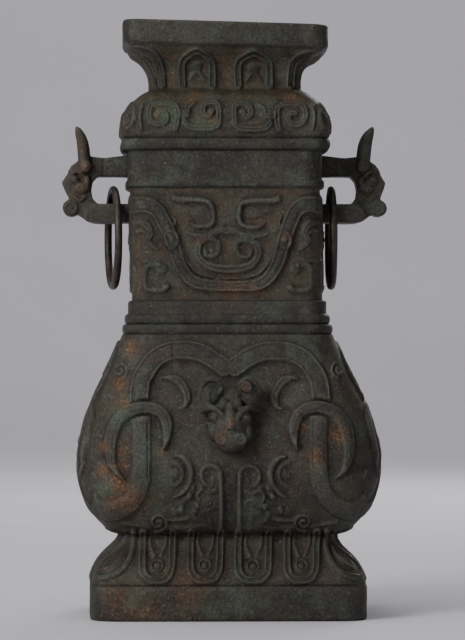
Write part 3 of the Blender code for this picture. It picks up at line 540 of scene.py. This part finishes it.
def makeBody():
    b = body
    counts = (b["frontColumns"], b["sideColumns"], b["backColumns"], b["sideColumns"])
    face = np.concatenate([np.full(n, i) for i, n in enumerate(counts)])
    place = np.concatenate([-1 + 2 * np.arange(n) / n for n in counts])
    profile = bodyProfile()
    rows = [profile[0]]
    for low, high in zip(profile[:-1], profile[1:]):
        steps = max(1, math.ceil(np.hypot(*(high - low)) / b["rowStep"]))
        rows += [low + (high - low) * s / steps for s in range(1, steps + 1)]
    rings = [planRing(h, half, 0, face, place) for h, half in rows]
    grid = np.array([r[0] for r in rings])
    u = np.array([r[1] for r in rings])
    z = grid[:, :, 2]
    strayU, strayZ = strayLines(u, z, face)
    plain = np.broadcast_to(face != 0, u.shape)
    rise = np.where(plain, carve(strayU, strayZ, True), carve(strayU, strayZ, False))
    rise *= np.where(face % 2 == 1, b["sideRelief"], 1)
    around = np.roll(grid, -1, axis=1) - np.roll(grid, 1, axis=1)
    normals = np.cross(around, np.gradient(grid, axis=0))
    normals /= np.linalg.norm(normals, axis=2, keepdims=True)
    x, y = grid[:, :, 0], grid[:, :, 1]
    outer = grid + normals * (rise + slowDents(x, y, z))[:, :, None]
    # how far the relief stands above or sinks below its surroundings: it lightens ridges for wear and painted
    # highlight, and darkens creases with painted shade
    detail = rise - blurred(rise, 3)
    carved = np.zeros(z.shape, bool)
    for low, high in b["carvedZones"]:
        carved |= (z > low) & (z < high)
    ground = np.clip(1 - rise / 1.4, 0, 1) * carved
    ground *= np.interp(z, b["earthHeights"], b["earthShares"])
    plainProfile = bodyProfile(False)
    inner, lower = [], []
    floor = b["waist"] + b["floor"]
    heights = [b["height"] - drop for drop in b["lipDrops"]]
    heights += list(np.linspace(b["height"] - 8, floor + b["floorFillet"], 60))
    heights += [floor + b["floorFillet"] * step for step in b["filletSteps"]]
    for height in heights:
        inside = wallInside(plainProfile, height, b["lipWidth"] if height > b["rimBottom"] else 0)
        drop = max(0, 1 - (height - floor) / b["floorFillet"])
        fillet = b["floorFillet"] * (1 - math.sqrt(max(0, 1 - drop**2)))
        if height == b["height"]:
            inside += b["lipRounding"]
        inner.append(planRing(height, inside + b["wall"], b["wall"] + fillet, face, place)[0])
    for height in list(np.linspace(b["waist"] - 1, 6, 16)) + [1.2, 0]:
        inside = wallInside(plainProfile, height, b["lipWidth"] if height < 8 else 0)
        lower.append(planRing(height, inside + b["wall"], b["wall"], face, place)[0])
    verts = np.vstack(lower + list(outer) + inner)
    count = len(face)
    total = len(lower) + len(outer) + len(inner)
    start = np.arange(total - 1)[:, None] * count + np.arange(count)[None, :]
    after = np.arange(total - 1)[:, None] * count + np.roll(np.arange(count), -1)[None, :]
    faces = np.stack([start, after, after + count, start + count], axis=2).reshape(-1, 4).tolist()
    faces.append(list(range(count))[::-1])
    faces.append(list(range((total - 1) * count, total * count)))
    item = meshObject("body", verts, faces)
    front = (face == 0) | ((face == 3) & (place > 0.2)) | ((face == 1) & (place < -0.2))
    front = np.broadcast_to(front, u.shape)
    # the relief measure carries wear with a painted highlight on ridges, and painted shade in the creases
    fields = {"ground": ground, "wearHighlightAndShade": np.clip(detail / 1.2, -1, 1)}
    for name, spots in patches.items():
        fields[name] = patchField(x, z, front, spots)
    plainLower, plainInner = np.zeros(len(lower) * count), np.zeros(len(inner) * count)
    paintFields(item, {name: np.concatenate([plainLower, field.ravel(), plainInner])
                       for name, field in fields.items()})
    thinTo(item, b["triangles"])
    print("body:", len(item.data.polygons), "faces")
    return item


# handles and heads: lumps drawn together into one cast skin

def unitBall(around=20, up=12):
    turns = np.linspace(0, 2 * math.pi, around, endpoint=False)
    verts = [(0, 0, -1)]
    for low in np.linspace(0, math.pi, up + 1)[1:-1]:
        verts += [(math.sin(low) * math.cos(a), math.sin(low) * math.sin(a), -math.cos(low)) for a in turns]
    verts.append((0, 0, 1))
    faces = []
    for j in range(around):
        k = (j + 1) % around
        faces.append((0, 1 + k, 1 + j))
        for i in range(up - 2):
            row = 1 + i * around
            faces.append((row + j, row + k, row + around + k, row + around + j))
        last = 1 + (up - 2) * around
        faces.append((last + j, last + k, len(verts) - 1))
    return np.array(verts), faces


ballVerts, ballFaces = unitBall()


def putIn(lumps, verts, faces):
    start = sum(len(v) for v in lumps["verts"])
    lumps["verts"].append(np.asarray(verts, float))
    lumps["faces"] += [tuple(start + i for i in face) for face in faces]


def addBall(lumps, centre, radii):
    putIn(lumps, ballVerts * radii + np.array(centre), ballFaces)


def addTaper(lumps, start, end, startRadius, endRadius, sides=18):
    start, end = Vector(start), Vector(end)
    turned = (end - start).to_track_quat("Z", "Y").to_matrix()
    turns = np.linspace(0, 2 * math.pi, sides, endpoint=False)
    verts = [start + turned @ Vector((startRadius * math.cos(a), startRadius * math.sin(a), 0)) for a in turns]
    verts += [end + turned @ Vector((endRadius * math.cos(a), endRadius * math.sin(a), 0)) for a in turns]
    faces = [(j, (j + 1) % sides, sides + (j + 1) % sides, sides + j) for j in range(sides)]
    faces += [tuple(range(sides))[::-1], tuple(range(sides, 2 * sides))]
    putIn(lumps, verts, faces)


def addRope(lumps, points, startRadius, endRadius, swell=1.0):
    # a round ridge along a smooth curve
    path = smoothCurve(points, 5)
    radii = startRadius + (endRadius - startRadius) * np.linspace(0, 1, len(path)) ** swell
    for a, b, ra, rb in zip(path[:-1], path[1:], radii[:-1], radii[1:]):
        addTaper(lumps, a, b, ra, rb)
        addBall(lumps, b, (rb, rb, rb))
    addBall(lumps, path[0], (startRadius,) * 3)


def addPlate(lumps, outline, half, topHalf=None):
    # a side outline (x, z), as thick as twice the half width along Y, which may narrow downwards
    path = np.array(outline, float)
    low, high = path[:, 1].min(), path[:, 1].max()
    halves = half + ((topHalf or half) - half) * (path[:, 1] - low) / (high - low)
    verts = [(x, -w, z) for (x, z), w in zip(path, halves)] + [(x, w, z) for (x, z), w in zip(path, halves)]
    n = len(path)
    area = sum(path[i][0] * path[(i + 1) % n][1] - path[(i + 1) % n][0] * path[i][1] for i in range(n))
    order = list(range(n)) if area > 0 else list(range(n))[::-1]
    faces = [tuple(order), tuple(n + i for i in order[::-1])]
    faces += [(order[i], n + order[i], n + order[(i + 1) % n], order[(i + 1) % n]) for i in range(n)]
    putIn(lumps, verts, faces)


def castForm(name, lumps, voxel, smoothing, triangles):
    item = meshObject(name, np.vstack(lumps["verts"]), lumps["faces"])
    remesh = item.modifiers.new("skin", "REMESH")
    remesh.mode = "VOXEL"
    remesh.voxel_size = voxel * 0.001
    soften = item.modifiers.new("soften", "SMOOTH")
    soften.iterations = smoothing
    bakeModifiers(item)
    thinTo(item, triangles)
    print(name + ":", len(item.data.polygons), "faces")
    return item


def addForms(lumps, forms, flip=(1, 1, 1), shift=(0, 0, 0)):
    # flip puts the same forms on the other half, shift moves them all
    for form in forms.values():
        if "ball" in form:
            addBall(lumps, np.array(form["ball"]) * flip + shift, form["radii"])
        else:
            path = [np.array(point) * flip + shift for point in form["rope"]]
            addRope(lumps, path, *form["radii"])


def loopPoints(centre, radius, first, last, count, away=0.0):
    # a loop seen from the front, whose outer side may lean away by a little
    return [(centre[0] + radius * math.cos(a), centre[1] + away * math.cos(a), centre[2] + radius * math.sin(a))
            for a in np.linspace(first, last, count)]


handle = {
    # side outlines of the parts (distance from the axis, height), with their half widths along Y
    "head": [(112, 417.5), (122, 418.5), (128, 418), (132.9, 414.7), (138.6, 410.8), (142.2, 406),
             (143.6, 400.8), (147.2, 394.4), (145.2, 387.6), (142.8, 381), (140, 372), (134, 365),
             (130.6, 363), (126, 359.4),
             (119, 357.6), (112, 360), (112, 374.5), (117, 376), (120.8, 380.5), (121.8, 388), (120.4, 395.6),
             (116, 400.4), (112, 401)],
    "headHalf": 15.4, "headTopHalf": 14.6,
    "bar": [(84, 400), (84, 419.6), (92, 419.4), (108, 417.4), (123, 417.6), (124, 404), (116, 400.2),
            (100, 400.4)],
    "barHalf": 14,
    "strap": [(84, 358.4), (84, 375), (114, 375), (121, 375), (127, 370), (127, 362), (121, 358), (112, 357.6)],
    "strapHalf": 28.5, "strapRounding": 3, "strapEnds": (84, 119),
    "muzzle": (140.7, 371.4), "muzzleRadius": 7.7, "muzzleHalf": 16,
    "hornFoot": (126.4, 409), "hornFootEnds": (12, 22.6), "hornFootRadii": (5.4, 5),
    "hornPath": [(127.4, 409), (128, 417), (129.7, 431), (132.4, 439), (135, 444.4)],
    "hornSpread": 15.5, "hornSplay": 0.05, "hornRadius": 5.9, "hornTip": 1.6, "hornTaper": 3.2,
    # (outwards, across, height) on one cheek; the other is the same
    "cheek": {
        "hornButton": {"ball": (126.4, 22.6, 409), "radii": (2.6, 1.6, 2.6)},
        # rolled ends of the muzzle, with a raised ring round a small button
        "muzzleRing": {"rope": loopPoints((140.7, 16.4, 371.4), 5, 0, 6.28, 13), "radii": (1.3, 1.3)},
        "muzzleButton": {"ball": (140.7, 16, 371.4), "radii": (2.6, 1.6, 2.6)},
        "eye": {"ball": (136.5, 15.5, 397), "radii": (4.6, 4.4, 4.2)},
        "brow": {"rope": [(128, 17, 400), (133, 18, 404), (138.5, 15.5, 403), (142, 11, 398)],
                 "radii": (1.5, 1.2)},
        "jaw": {"rope": [(127, 15.6, 382), (132, 16.6, 378), (136, 16, 381), (141.5, 14, 383.5)],
                "radii": (1.5, 1.2)},
        "cheekBone": {"ball": (130, 14.4, 390), "radii": (7.4, 5, 6.6)},
        "ear": {"ball": (125, 16.4, 396), "radii": (3, 3.2, 5.6)},
        "noseLine": {"rope": [(143.8, 3.4, 400), (146.4, 3.6, 394), (144.8, 5, 388), (142.5, 7, 383)],
                     "radii": (1.7, 1.3)},
    },
    "face": {
        "nose": {"ball": (144.4, 0, 394.6), "radii": (4.2, 7, 4)},
        "forehead": {"ball": (136.5, 0, 407.4), "radii": (5, 6.5, 4.6)},
    },
    "voxel": 0.95, "smoothing": 2, "triangles": 11000,
}


def makeHandle():
    h = handle
    lumps = {"verts": [], "faces": []}
    addPlate(lumps, h["bar"], h["barHalf"])
    # the strap is rounded along its upper edges, where the ring hangs
    rounding = h["strapRounding"]
    top = max(z for _, z in h["strap"])
    addPlate(lumps, [(x, min(z, top - rounding)) for x, z in h["strap"]], h["strapHalf"])
    addPlate(lumps, h["strap"], h["strapHalf"] - rounding)
    for side in (-1, 1):
        edge = side * (h["strapHalf"] - rounding)
        start, end = ((x, edge, top - rounding) for x in h["strapEnds"])
        addTaper(lumps, start, end, rounding, rounding)
    addPlate(lumps, h["head"], h["headHalf"], h["headTopHalf"])
    x, z = h["muzzle"]
    addTaper(lumps, (x, -h["muzzleHalf"], z), (x, h["muzzleHalf"], z), h["muzzleRadius"], h["muzzleRadius"])
    for side in (-1, 1):
        x, foot = h["hornFoot"]
        path = [(x, side * (h["hornSpread"] + (z - foot) * h["hornSplay"]), z) for x, z in h["hornPath"]]
        addRope(lumps, path, h["hornRadius"], h["hornTip"], h["hornTaper"])
        start, end = ((x, side * y, foot) for y in h["hornFootEnds"])
        addTaper(lumps, start, end, *h["hornFootRadii"])
        addForms(lumps, h["cheek"], (1, side, 1))
    addForms(lumps, h["face"])
    return castForm("handle", lumps, h["voxel"], h["smoothing"], h["triangles"])


bellyHead = {
    # seen from the front: across, out of the wall (negative is towards the viewer), height
    "skinY": -101.5,
    "skull": {
        "crown": {"ball": (0, 1, 186), "radii": (21.5, 13, 24)},
        "face": {"ball": (0, -8, 172), "radii": (15.5, 13.5, 19)},
        "muzzle": {"ball": (0, -12.5, 162.5), "radii": (14.8, 11.5, 11.5)},
        "chin": {"ball": (0, -9, 155.6), "radii": (12, 9.5, 4.4)},
    },
    "noseBridge": [(0, -12, 195), (0, -18.5, 171)], "noseRadii": (4.6, 5),
    # one half of the face; the other is the same
    "half": {
        "eye": {"ball": (13.5, -10, 182.4), "radii": (6.2, 7, 5.6)},
        "brow": {"rope": [(25, -4, 188.4), (17.5, -13, 191.4), (9.4, -16, 187), (5.4, -17, 180.6)],
                 "radii": (3.4, 2.6)},
        "lowerLid": {"rope": [(22, -5, 178), (15, -12, 175.8), (9, -16, 177.6)], "radii": (1.5, 1.3)},
        "nostril": {"rope": loopPoints((8.6, -22, 163.4), 4.2, 0.3, 6, 12, 0.6), "radii": (1.7, 1.4)},
        "nostrilHeart": {"ball": (8.4, -20.5, 163.4), "radii": (3, 3, 3)},
        "cheek": {"ball": (15.4, -7, 170), "radii": (5.5, 8, 9)},
        "hornRoot": {"ball": (6, -12.5, 194), "radii": (5, 4, 6)},
        "temple": {"ball": (19, -4, 194), "radii": (7.4, 7, 9)},
    },
    # a broad C on the left whose tip curls in, and a closed coil on the right
    "horns": {
        "leftHorn": {"ball": (-17.6, -5.5, 204), "radii": (10, 7, 13)},
        "leftRim": {"rope": [(-26, -5, 192), (-26.8, -8, 204), (-22.5, -11, 214), (-16, -12, 216.6),
                             (-9.8, -11, 213.6), (-7.4, -9, 207.6), (-10, -10, 204)], "radii": (2.5, 2)},
        "outerLine": {"rope": [(-22.2, -9.7, 194), (-22.4, -11.36, 204), (-19.24, -12.4, 209.62)],
                      "radii": (0.9, 0.7)},
        "innerLine": {"rope": [(-18.8, -11.4, 194), (-19, -12.72, 204), (-17.88, -12.4, 207.24)],
                      "radii": (0.9, 0.7)},
        "rightHorn": {"ball": (17.2, -5.5, 203), "radii": (10, 7.5, 14)},
        "rightRim": {"rope": [(8, -9, 203), (8.6, -12, 212.4), (15.4, -13, 217), (22, -11, 214),
                              (26.4, -7, 206), (25.4, -5, 197)], "radii": (2.4, 2)},
        "coil": {"ball": (14.4, -12.5, 209.6), "radii": (5.4, 4, 5.4)},
        "coilRing": {"rope": loopPoints((14.4, -16, 209.6), 4, 0, 6.28, 12), "radii": (1.1, 1.1)},
    },
    "voxel": 0.75, "smoothing": 2, "triangles": 15000, "backTriangles": 9000,
}


def makeBellyHead():
    h = bellyHead
    lumps = {"verts": [], "faces": []}
    wall = (0, h["skinY"], 0)
    addForms(lumps, h["skull"], shift=wall)
    start, end = (np.array(point) + wall for point in h["noseBridge"])
    addTaper(lumps, start, end, *h["noseRadii"])
    for side in (-1, 1):
        addForms(lumps, h["half"], (side, 1, 1), wall)
    addForms(lumps, h["horns"], shift=wall)
    return castForm("bellyHead", lumps, h["voxel"], h["smoothing"], h["triangles"])


def tint(item):
    # the front's patches and some wear, carried over to the parts that stand out of the body;
    # the belly head at the back stays plain
    points = np.empty(len(item.data.vertices) * 3)
    item.data.vertices.foreach_get("co", points)
    x, y, z = points.reshape(-1, 3).T * 1000
    fields = {name: patchField(x, z, y < 60, spots) for name, spots in patches.items()}
    fields["wearHighlightAndShade"] = np.full(len(x), 0.25)
    paintFields(item, fields)


def mirroredCopy(item, name, x=1, y=1):
    mesh = item.data.copy()
    mesh.transform(Matrix.Diagonal((x, y, 1, 1)))
    if x * y < 0:
        mesh.flip_normals()
    copy = bpy.data.objects.new(name, mesh)
    bpy.context.scene.collection.objects.link(copy)
    return copy


def settle(item):
    # lean and rim sag, put on the whole casting together
    mesh = item.data
    points = np.empty(len(mesh.vertices) * 3)
    mesh.vertices.foreach_get("co", points)
    points = points.reshape(-1, 3) * 1000
    z = points[:, 2].copy()
    sag = np.clip((z - rimSag["from"]) / rimSag["over"], 0, 1)
    sag = sag * sag * (3 - 2 * sag)
    share = np.clip((points[:, 0] + body["rimHalf"]) / (2 * body["rimHalf"]), 0, 1)
    points[:, 2] -= rimSag["drop"] * sag * share * np.where(z > rimSag["bandFrom"], 1, rimSag["belowBand"])
    points[:, 0] += np.interp(z, lean["heights"], lean["shifts"])
    mesh.vertices.foreach_set("co", (points / 1000).ravel())
    mesh.update()


def makeVessel():
    main = makeBody()
    right = makeHandle()
    left = mirroredCopy(right, "leftHandle", x=-1)
    front = makeBellyHead()
    back = mirroredCopy(front, "backHead", y=-1)
    for part in (right, left, front):
        tint(part)
    thinTo(back, bellyHead["backTriangles"])
    parts = [main, right, left, front, back]
    with bpy.context.temp_override(active_object=main, object=main, selected_editable_objects=parts,
                                   selected_objects=parts):
        bpy.ops.object.join()
    main.name = "castVessel"
    settle(main)
    main.data.shade_smooth()
    main.data.set_sharp_from_angle(angle=math.radians(60))
    print("vessel:", len(main.data.polygons), "faces")
    return main


ringForm = {"radius": 44.2, "strand": 7, "wornAway": 0.06, "uneven": 0.02, "around": 144, "section": 16}
rings = {"left_ring": {"turn": 6.5, "seed": 1.0}, "right_ring": {"turn": 0.0, "seed": 2.3}}


def makeRing(node):
    r = ringForm
    low, high = (np.array(corner) * 1000 for corner in plainBox(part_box(node)))
    centre = (low + high) / 2
    turn, seed = math.radians(rings[node]["turn"]), rings[node]["seed"]
    verts, faces = [], []
    around, section = r["around"], r["section"]
    for i in range(around):
        a = 2 * math.pi * i / around
        # worn thinner where it rubs on the strap
        thick = 1 - r["wornAway"] * math.cos(a) + r["uneven"] * math.sin(5 * a + seed)
        strand = r["strand"] / 2 * thick
        for j in range(section):
            s = 2 * math.pi * j / section
            out = r["radius"] + strand * math.cos(s)
            flat = strand * math.sin(s)
            x, y, z = flat, out * math.sin(a), out * math.cos(a)
            verts.append((centre[0] + x * math.cos(turn) - y * math.sin(turn),
                          centre[1] + x * math.sin(turn) + y * math.cos(turn), centre[2] + z))
    for i in range(around):
        for j in range(section):
            k, m = (i + 1) % around, (j + 1) % section
            faces.append((i * section + j, i * section + m, k * section + m, k * section + j))
    item = meshObject(node + "Bronze", verts, faces)
    item.data.shade_smooth()
    return item


# materials

def linear(hexColour):
    channels = [int(hexColour[i:i + 2], 16) / 255 for i in (1, 3, 5)]
    return tuple(c / 12.92 if c <= 0.04045 else ((c + 0.055) / 1.055) ** 2.4 for c in channels) + (1.0,)


def addNode(tree, kind, output, inputs=None, **settings):
    # adds a node with its settings and links, and hands back the named output
    node = tree.nodes.new("ShaderNode" + kind)
    for name, value in settings.items():
        setattr(node, name, value)
    for name, value in (inputs or {}).items():
        if isinstance(value, bpy.types.NodeSocket):
            tree.links.new(value, node.inputs[name])
        else:
            node.inputs[name].default_value = value
    return node.outputs[output]


def newMaterial(name):
    material = bpy.data.materials.new(name)
    material.use_nodes = True
    tree = material.node_tree
    return material, tree, tree.nodes["Principled BSDF"]


def perMetre(millimetres):
    return 1000.0 / millimetres


# the lighter tone for rubbed ridges also carries the painted highlight along them
tones = {
    "dark": "#1f1e1a", "mid": "#36332b", "light": "#4b473d", "earth": "#4b3f2e", "wornHighlight": "#68665a",
    "rust": "#80522c", "pink": "#46382f", "malachite": "#49604c", "verdigris": "#485348", "mineral": "#7d786d",
    "rubbed": "#4a4138",
}
# Fields are noises: grain in mm, detail, roughness, distortion.
# A layer is its field, where it starts and ends, its share there, the painted field it stays within, its tone.
# Bumps are field, strength and depth in metres.
buriedBronze = {
    # cast bronze, buried: a dull brown-black matt skin, lighter and greyer where it was handled
    "noises": {
        "mottle": (17, 7, 0.62, 0), "blotch": (55, 4, 0.55, 0), "grain": (2.1, 3, 0.7, 0),
        "speck": (2.6, 5, 0.8, 0), "bloom": (31, 6, 0.7, 0.4), "fleck": (5.5, 5, 0.75, 0),
        "stray": (3.4, 4, 0.8, 0.3),
    },
    "painted": ("ground", "wearHighlightAndShade", "rust", "malachite"),
    "layers": [
        ("mottle", 0.34, 0.66, 0, 1, None, "mid"),
        ("blotch", 0.5, 0.68, 0, 0.45, None, "light"),
        # earth left in the sunk ground, thicker in some places
        ("mottle", 0.28, 0.6, 0.15, 0.9, "ground", "earth"),
        # a tinge of dull pink over broad areas, then a grey-green bloom
        ("blotch", 0.42, 0.3, 0, 0.5, None, "pink"),
        ("bloom", 0.5, 0.68, 0, 0.6, None, "verdigris"),
        # small blotches of green-grey and dull red, a few millimetres across
        ("fleck", 0.56, 0.68, 0, 0.6, None, "verdigris"),
        ("fleck", 0.44, 0.33, 0, 0.5, None, "pink"),
        # rubbed ridges, lighter for wear and for a painted highlight along them; then painted shade in the
        # crease at the foot of each
        ("wearHighlightAndShade", 0.1, 0.9, 0, 0.4, None, "wornHighlight"),
        ("wearHighlightAndShade", -0.1, -0.8, 1, 0.45, None, None),
        # rust-orange and malachite, broken up by the specks
        ("speck", 0.42, 0.6, 0.02, 1.15, "rust", "rust"),
        ("speck", 0.62, 0.4, 0.1, 1.2, "malachite", "malachite"),
        # stray rust and pale mineral specks, drawn coarser than they are so that they show
        ("stray", 0.6, 0.7, 0, 0.5, None, "rust"),
        ("speck", 0.58, 0.7, 0, 0.75, None, "mineral"),
        ("grain", 0.34, 0.66, 0.6, 1.45, None, None),
    ],
    "metallic": 0.3, "roughness": (0.42, 0.68), "pit": 4.2,
    "bumps": [("pits", 0.35, 0.0006), ("grain", 0.9, 0.0009), ("speck", 0.8, 0.0012)],
}
rubbedBronze = {
    # the same cast bronze kept smoother by handling: lighter, and a little glossier
    "noises": {"mottle": (9, 6, 0.65, 0), "grain": (1.6, 3, 0.5, 0)},
    "painted": (),
    "layers": [("mottle", 0.35, 0.62, 0, 1, None, "rubbed"), ("grain", 0.55, 0.75, 0, 0.5, None, "light")],
    "metallic": 0.4, "roughness": (0.42, 0.6), "pit": None,
    "bumps": [("grain", 0.5, 0.0004)],
}


def bronze(name, recipe):
    material, tree, shader = newMaterial(name)
    where = addNode(tree, "TexCoord", "Object")
    fields = {}
    for field, (grain, detail, roughness, distortion) in recipe["noises"].items():
        fields[field] = addNode(tree, "TexNoise", "Fac", {
            "Vector": where, "Scale": perMetre(grain), "Detail": detail, "Roughness": roughness,
            "Distortion": distortion})
    for field in recipe["painted"]:
        fields[field] = addNode(tree, "Attribute", "Fac", attribute_name=field)
    if recipe["pit"]:
        fields["pits"] = addNode(tree, "TexVoronoi", "Distance", {
            "Vector": where, "Scale": perMetre(recipe["pit"])}, feature="SMOOTH_F1")
    colour = linear(tones["dark"])
    for field, start, end, shareAtStart, shareAtEnd, within, tone in recipe["layers"]:
        share = addNode(tree, "MapRange", "Result", {
            "Value": fields[field], "From Min": start, "From Max": end,
            "To Min": shareAtStart, "To Max": shareAtEnd})
        if within:
            share = addNode(tree, "Math", "Value", {0: fields[within], 1: share},
                            operation="MULTIPLY", use_clamp=True)
        if tone:
            colour = addNode(tree, "MixRGB", "Color", {
                "Fac": share, "Color1": colour, "Color2": linear(tones[tone])})
        else:
            # a layer without a tone lightens or darkens what is under it
            grey = addNode(tree, "CombineColor", "Color", {"Red": share, "Green": share, "Blue": share})
            colour = addNode(tree, "MixRGB", "Color", {"Fac": 1.0, "Color1": colour, "Color2": grey},
                             blend_type="MULTIPLY")
    tree.links.new(colour, shader.inputs["Base Color"])
    shader.inputs["Metallic"].default_value = recipe["metallic"]
    glossiest, roughest = recipe["roughness"]
    roughness = addNode(tree, "MapRange", "Result", {
        "Value": fields["mottle"], "From Min": 0.3, "From Max": 0.7, "To Min": glossiest, "To Max": roughest})
    tree.links.new(roughness, shader.inputs["Roughness"])
    below = {}
    for field, strength, depth in recipe["bumps"]:
        normal = addNode(tree, "Bump", "Normal", {
            "Height": fields[field], "Strength": strength, "Distance": depth, **below})
        below = {"Normal": normal}
    tree.links.new(normal, shader.inputs["Normal"])
    return material


vesselPiece = makeVessel()
vesselPiece.data.materials.clear()
vesselPiece.data.materials.append(bronze("cast bronze, burial patina", buriedBronze))
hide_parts("vessel")
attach(vesselPiece, "root")
ringMaterial = bronze("cast bronze, rubbed ring", rubbedBronze)
for node in rings:
    piece = makeRing(node)
    piece.data.materials.append(ringMaterial)
    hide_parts(node)
    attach(piece, node)
print("pieces made")


# studio: a round pale cove, a large soft key from the front left, a weak fill, a light from above,
# one that washes the wall behind, and a weak one from behind

studio = {
    "cove": {"radius": 6.4, "curve": 2.0, "height": 6.4, "sides": 96},
    "floorColour": "#d6d3d8", "floorShade": "#d0cdd3", "world": "#8d8b92", "worldStrength": 0.24,
    "key": {"at": (-2.0, -2.1, 1.5), "size": 1.3, "power": 78},
    "fill": {"at": (2.2, -2.0, 0.9), "size": 1.6, "power": 5},
    "top": {"at": (-0.3, -0.2, 2.4), "size": 1.4, "power": 22},
    "wash": {"at": (0.0, 2.2, 3.6), "size": 1.8, "power": 92, "target": (0, 6.4, 0.8)},
    "back": {"at": (1.1, 2.5, 1.5), "size": 1.4, "power": 24},
}


def areaLight(name, at, size, power, target=(0, 0, 0.27)):
    data = bpy.data.lights.new(name, "AREA")
    data.shape = "SQUARE"
    data.size = size
    data.energy = power
    light = bpy.data.objects.new(name, data)
    light.location = at
    light.rotation_euler = (Vector(target) - Vector(at)).to_track_quat("-Z", "Y").to_euler()
    bpy.context.scene.collection.objects.link(light)


def makeStudio():
    # a round cove of paper: floor, a wide curve and a wall, the same from every side
    c = studio["cove"]
    flat = c["radius"] - c["curve"]
    ends = [(0.4, 0.0), (1.5, 0.0), (flat, 0.0)]
    for angle in np.linspace(0, math.pi / 2, 13)[1:]:
        ends.append((flat + c["curve"] * math.sin(angle), c["curve"] * (1 - math.cos(angle))))
    ends.append((c["radius"], c["height"]))
    sides = c["sides"]
    turns = np.linspace(0, 2 * math.pi, sides, endpoint=False)
    verts = [(r * 1000 * math.cos(t), r * 1000 * math.sin(t), h * 1000) for r, h in ends for t in turns]
    faces = []
    for i in range(0, (len(ends) - 1) * sides, sides):
        for j in range(sides):
            k = (j + 1) % sides
            faces.append((i + j, i + sides + j, i + sides + k, i + k))
    faces.append(tuple(range(sides)))
    sweep = meshObject("paperCove", verts, faces)
    sweep.data.shade_smooth()
    # matt backdrop paper, faintly uneven
    material, tree, shader = newMaterial("backdrop paper")
    where = addNode(tree, "TexCoord", "Object")
    cloud = addNode(tree, "TexNoise", "Fac", {"Vector": where, "Scale": 1.4, "Detail": 2})
    share = addNode(tree, "MapRange", "Result", {"Value": cloud, "From Min": 0.35, "From Max": 0.65})
    colour = addNode(tree, "MixRGB", "Color", {
        "Fac": share, "Color1": linear(studio["floorColour"]), "Color2": linear(studio["floorShade"])})
    tree.links.new(colour, shader.inputs["Base Color"])
    shader.inputs["Roughness"].default_value = 0.9
    sweep.data.materials.append(material)
    for name in ("key", "fill", "top", "wash", "back"):
        areaLight(name, **studio[name])
    world = bpy.data.worlds.new("studio")
    world.use_nodes = True
    back = world.node_tree.nodes["Background"]
    back.inputs["Color"].default_value = linear(studio["world"])
    back.inputs["Strength"].default_value = studio["worldStrength"]
    bpy.context.scene.world = world


# the view: level, from 3.3 m, a touch from the left
view = {"distance": 3.3, "height": 0.26, "azimuth": -1.5, "sensor": 36, "focalPixels": 3594, "frameHeight": 640,
        "axisPixel": 225.0, "middlePixel": 232.5, "horizonPixel": 330, "middleRow": 320,
        "farthest": 50}


def makeCamera():
    data = bpy.data.cameras.new("photo view")
    data.sensor_width = view["sensor"]
    data.lens = view["sensor"] * view["focalPixels"] / view["frameHeight"]
    data.shift_x = (view["middlePixel"] - view["axisPixel"]) / view["frameHeight"]
    data.shift_y = (view["horizonPixel"] - view["middleRow"]) / view["frameHeight"]
    data.clip_end = view["farthest"]
    camera = bpy.data.objects.new("photo view", data)
    turn = math.radians(view["azimuth"])
    camera.location = (view["distance"] * math.sin(turn), -view["distance"] * math.cos(turn), view["height"])
    camera.rotation_euler = (math.pi / 2, 0, turn)
    bpy.context.scene.collection.objects.link(camera)
    bpy.context.scene.camera = camera


makeStudio()
makeCamera()
print("studio ready")
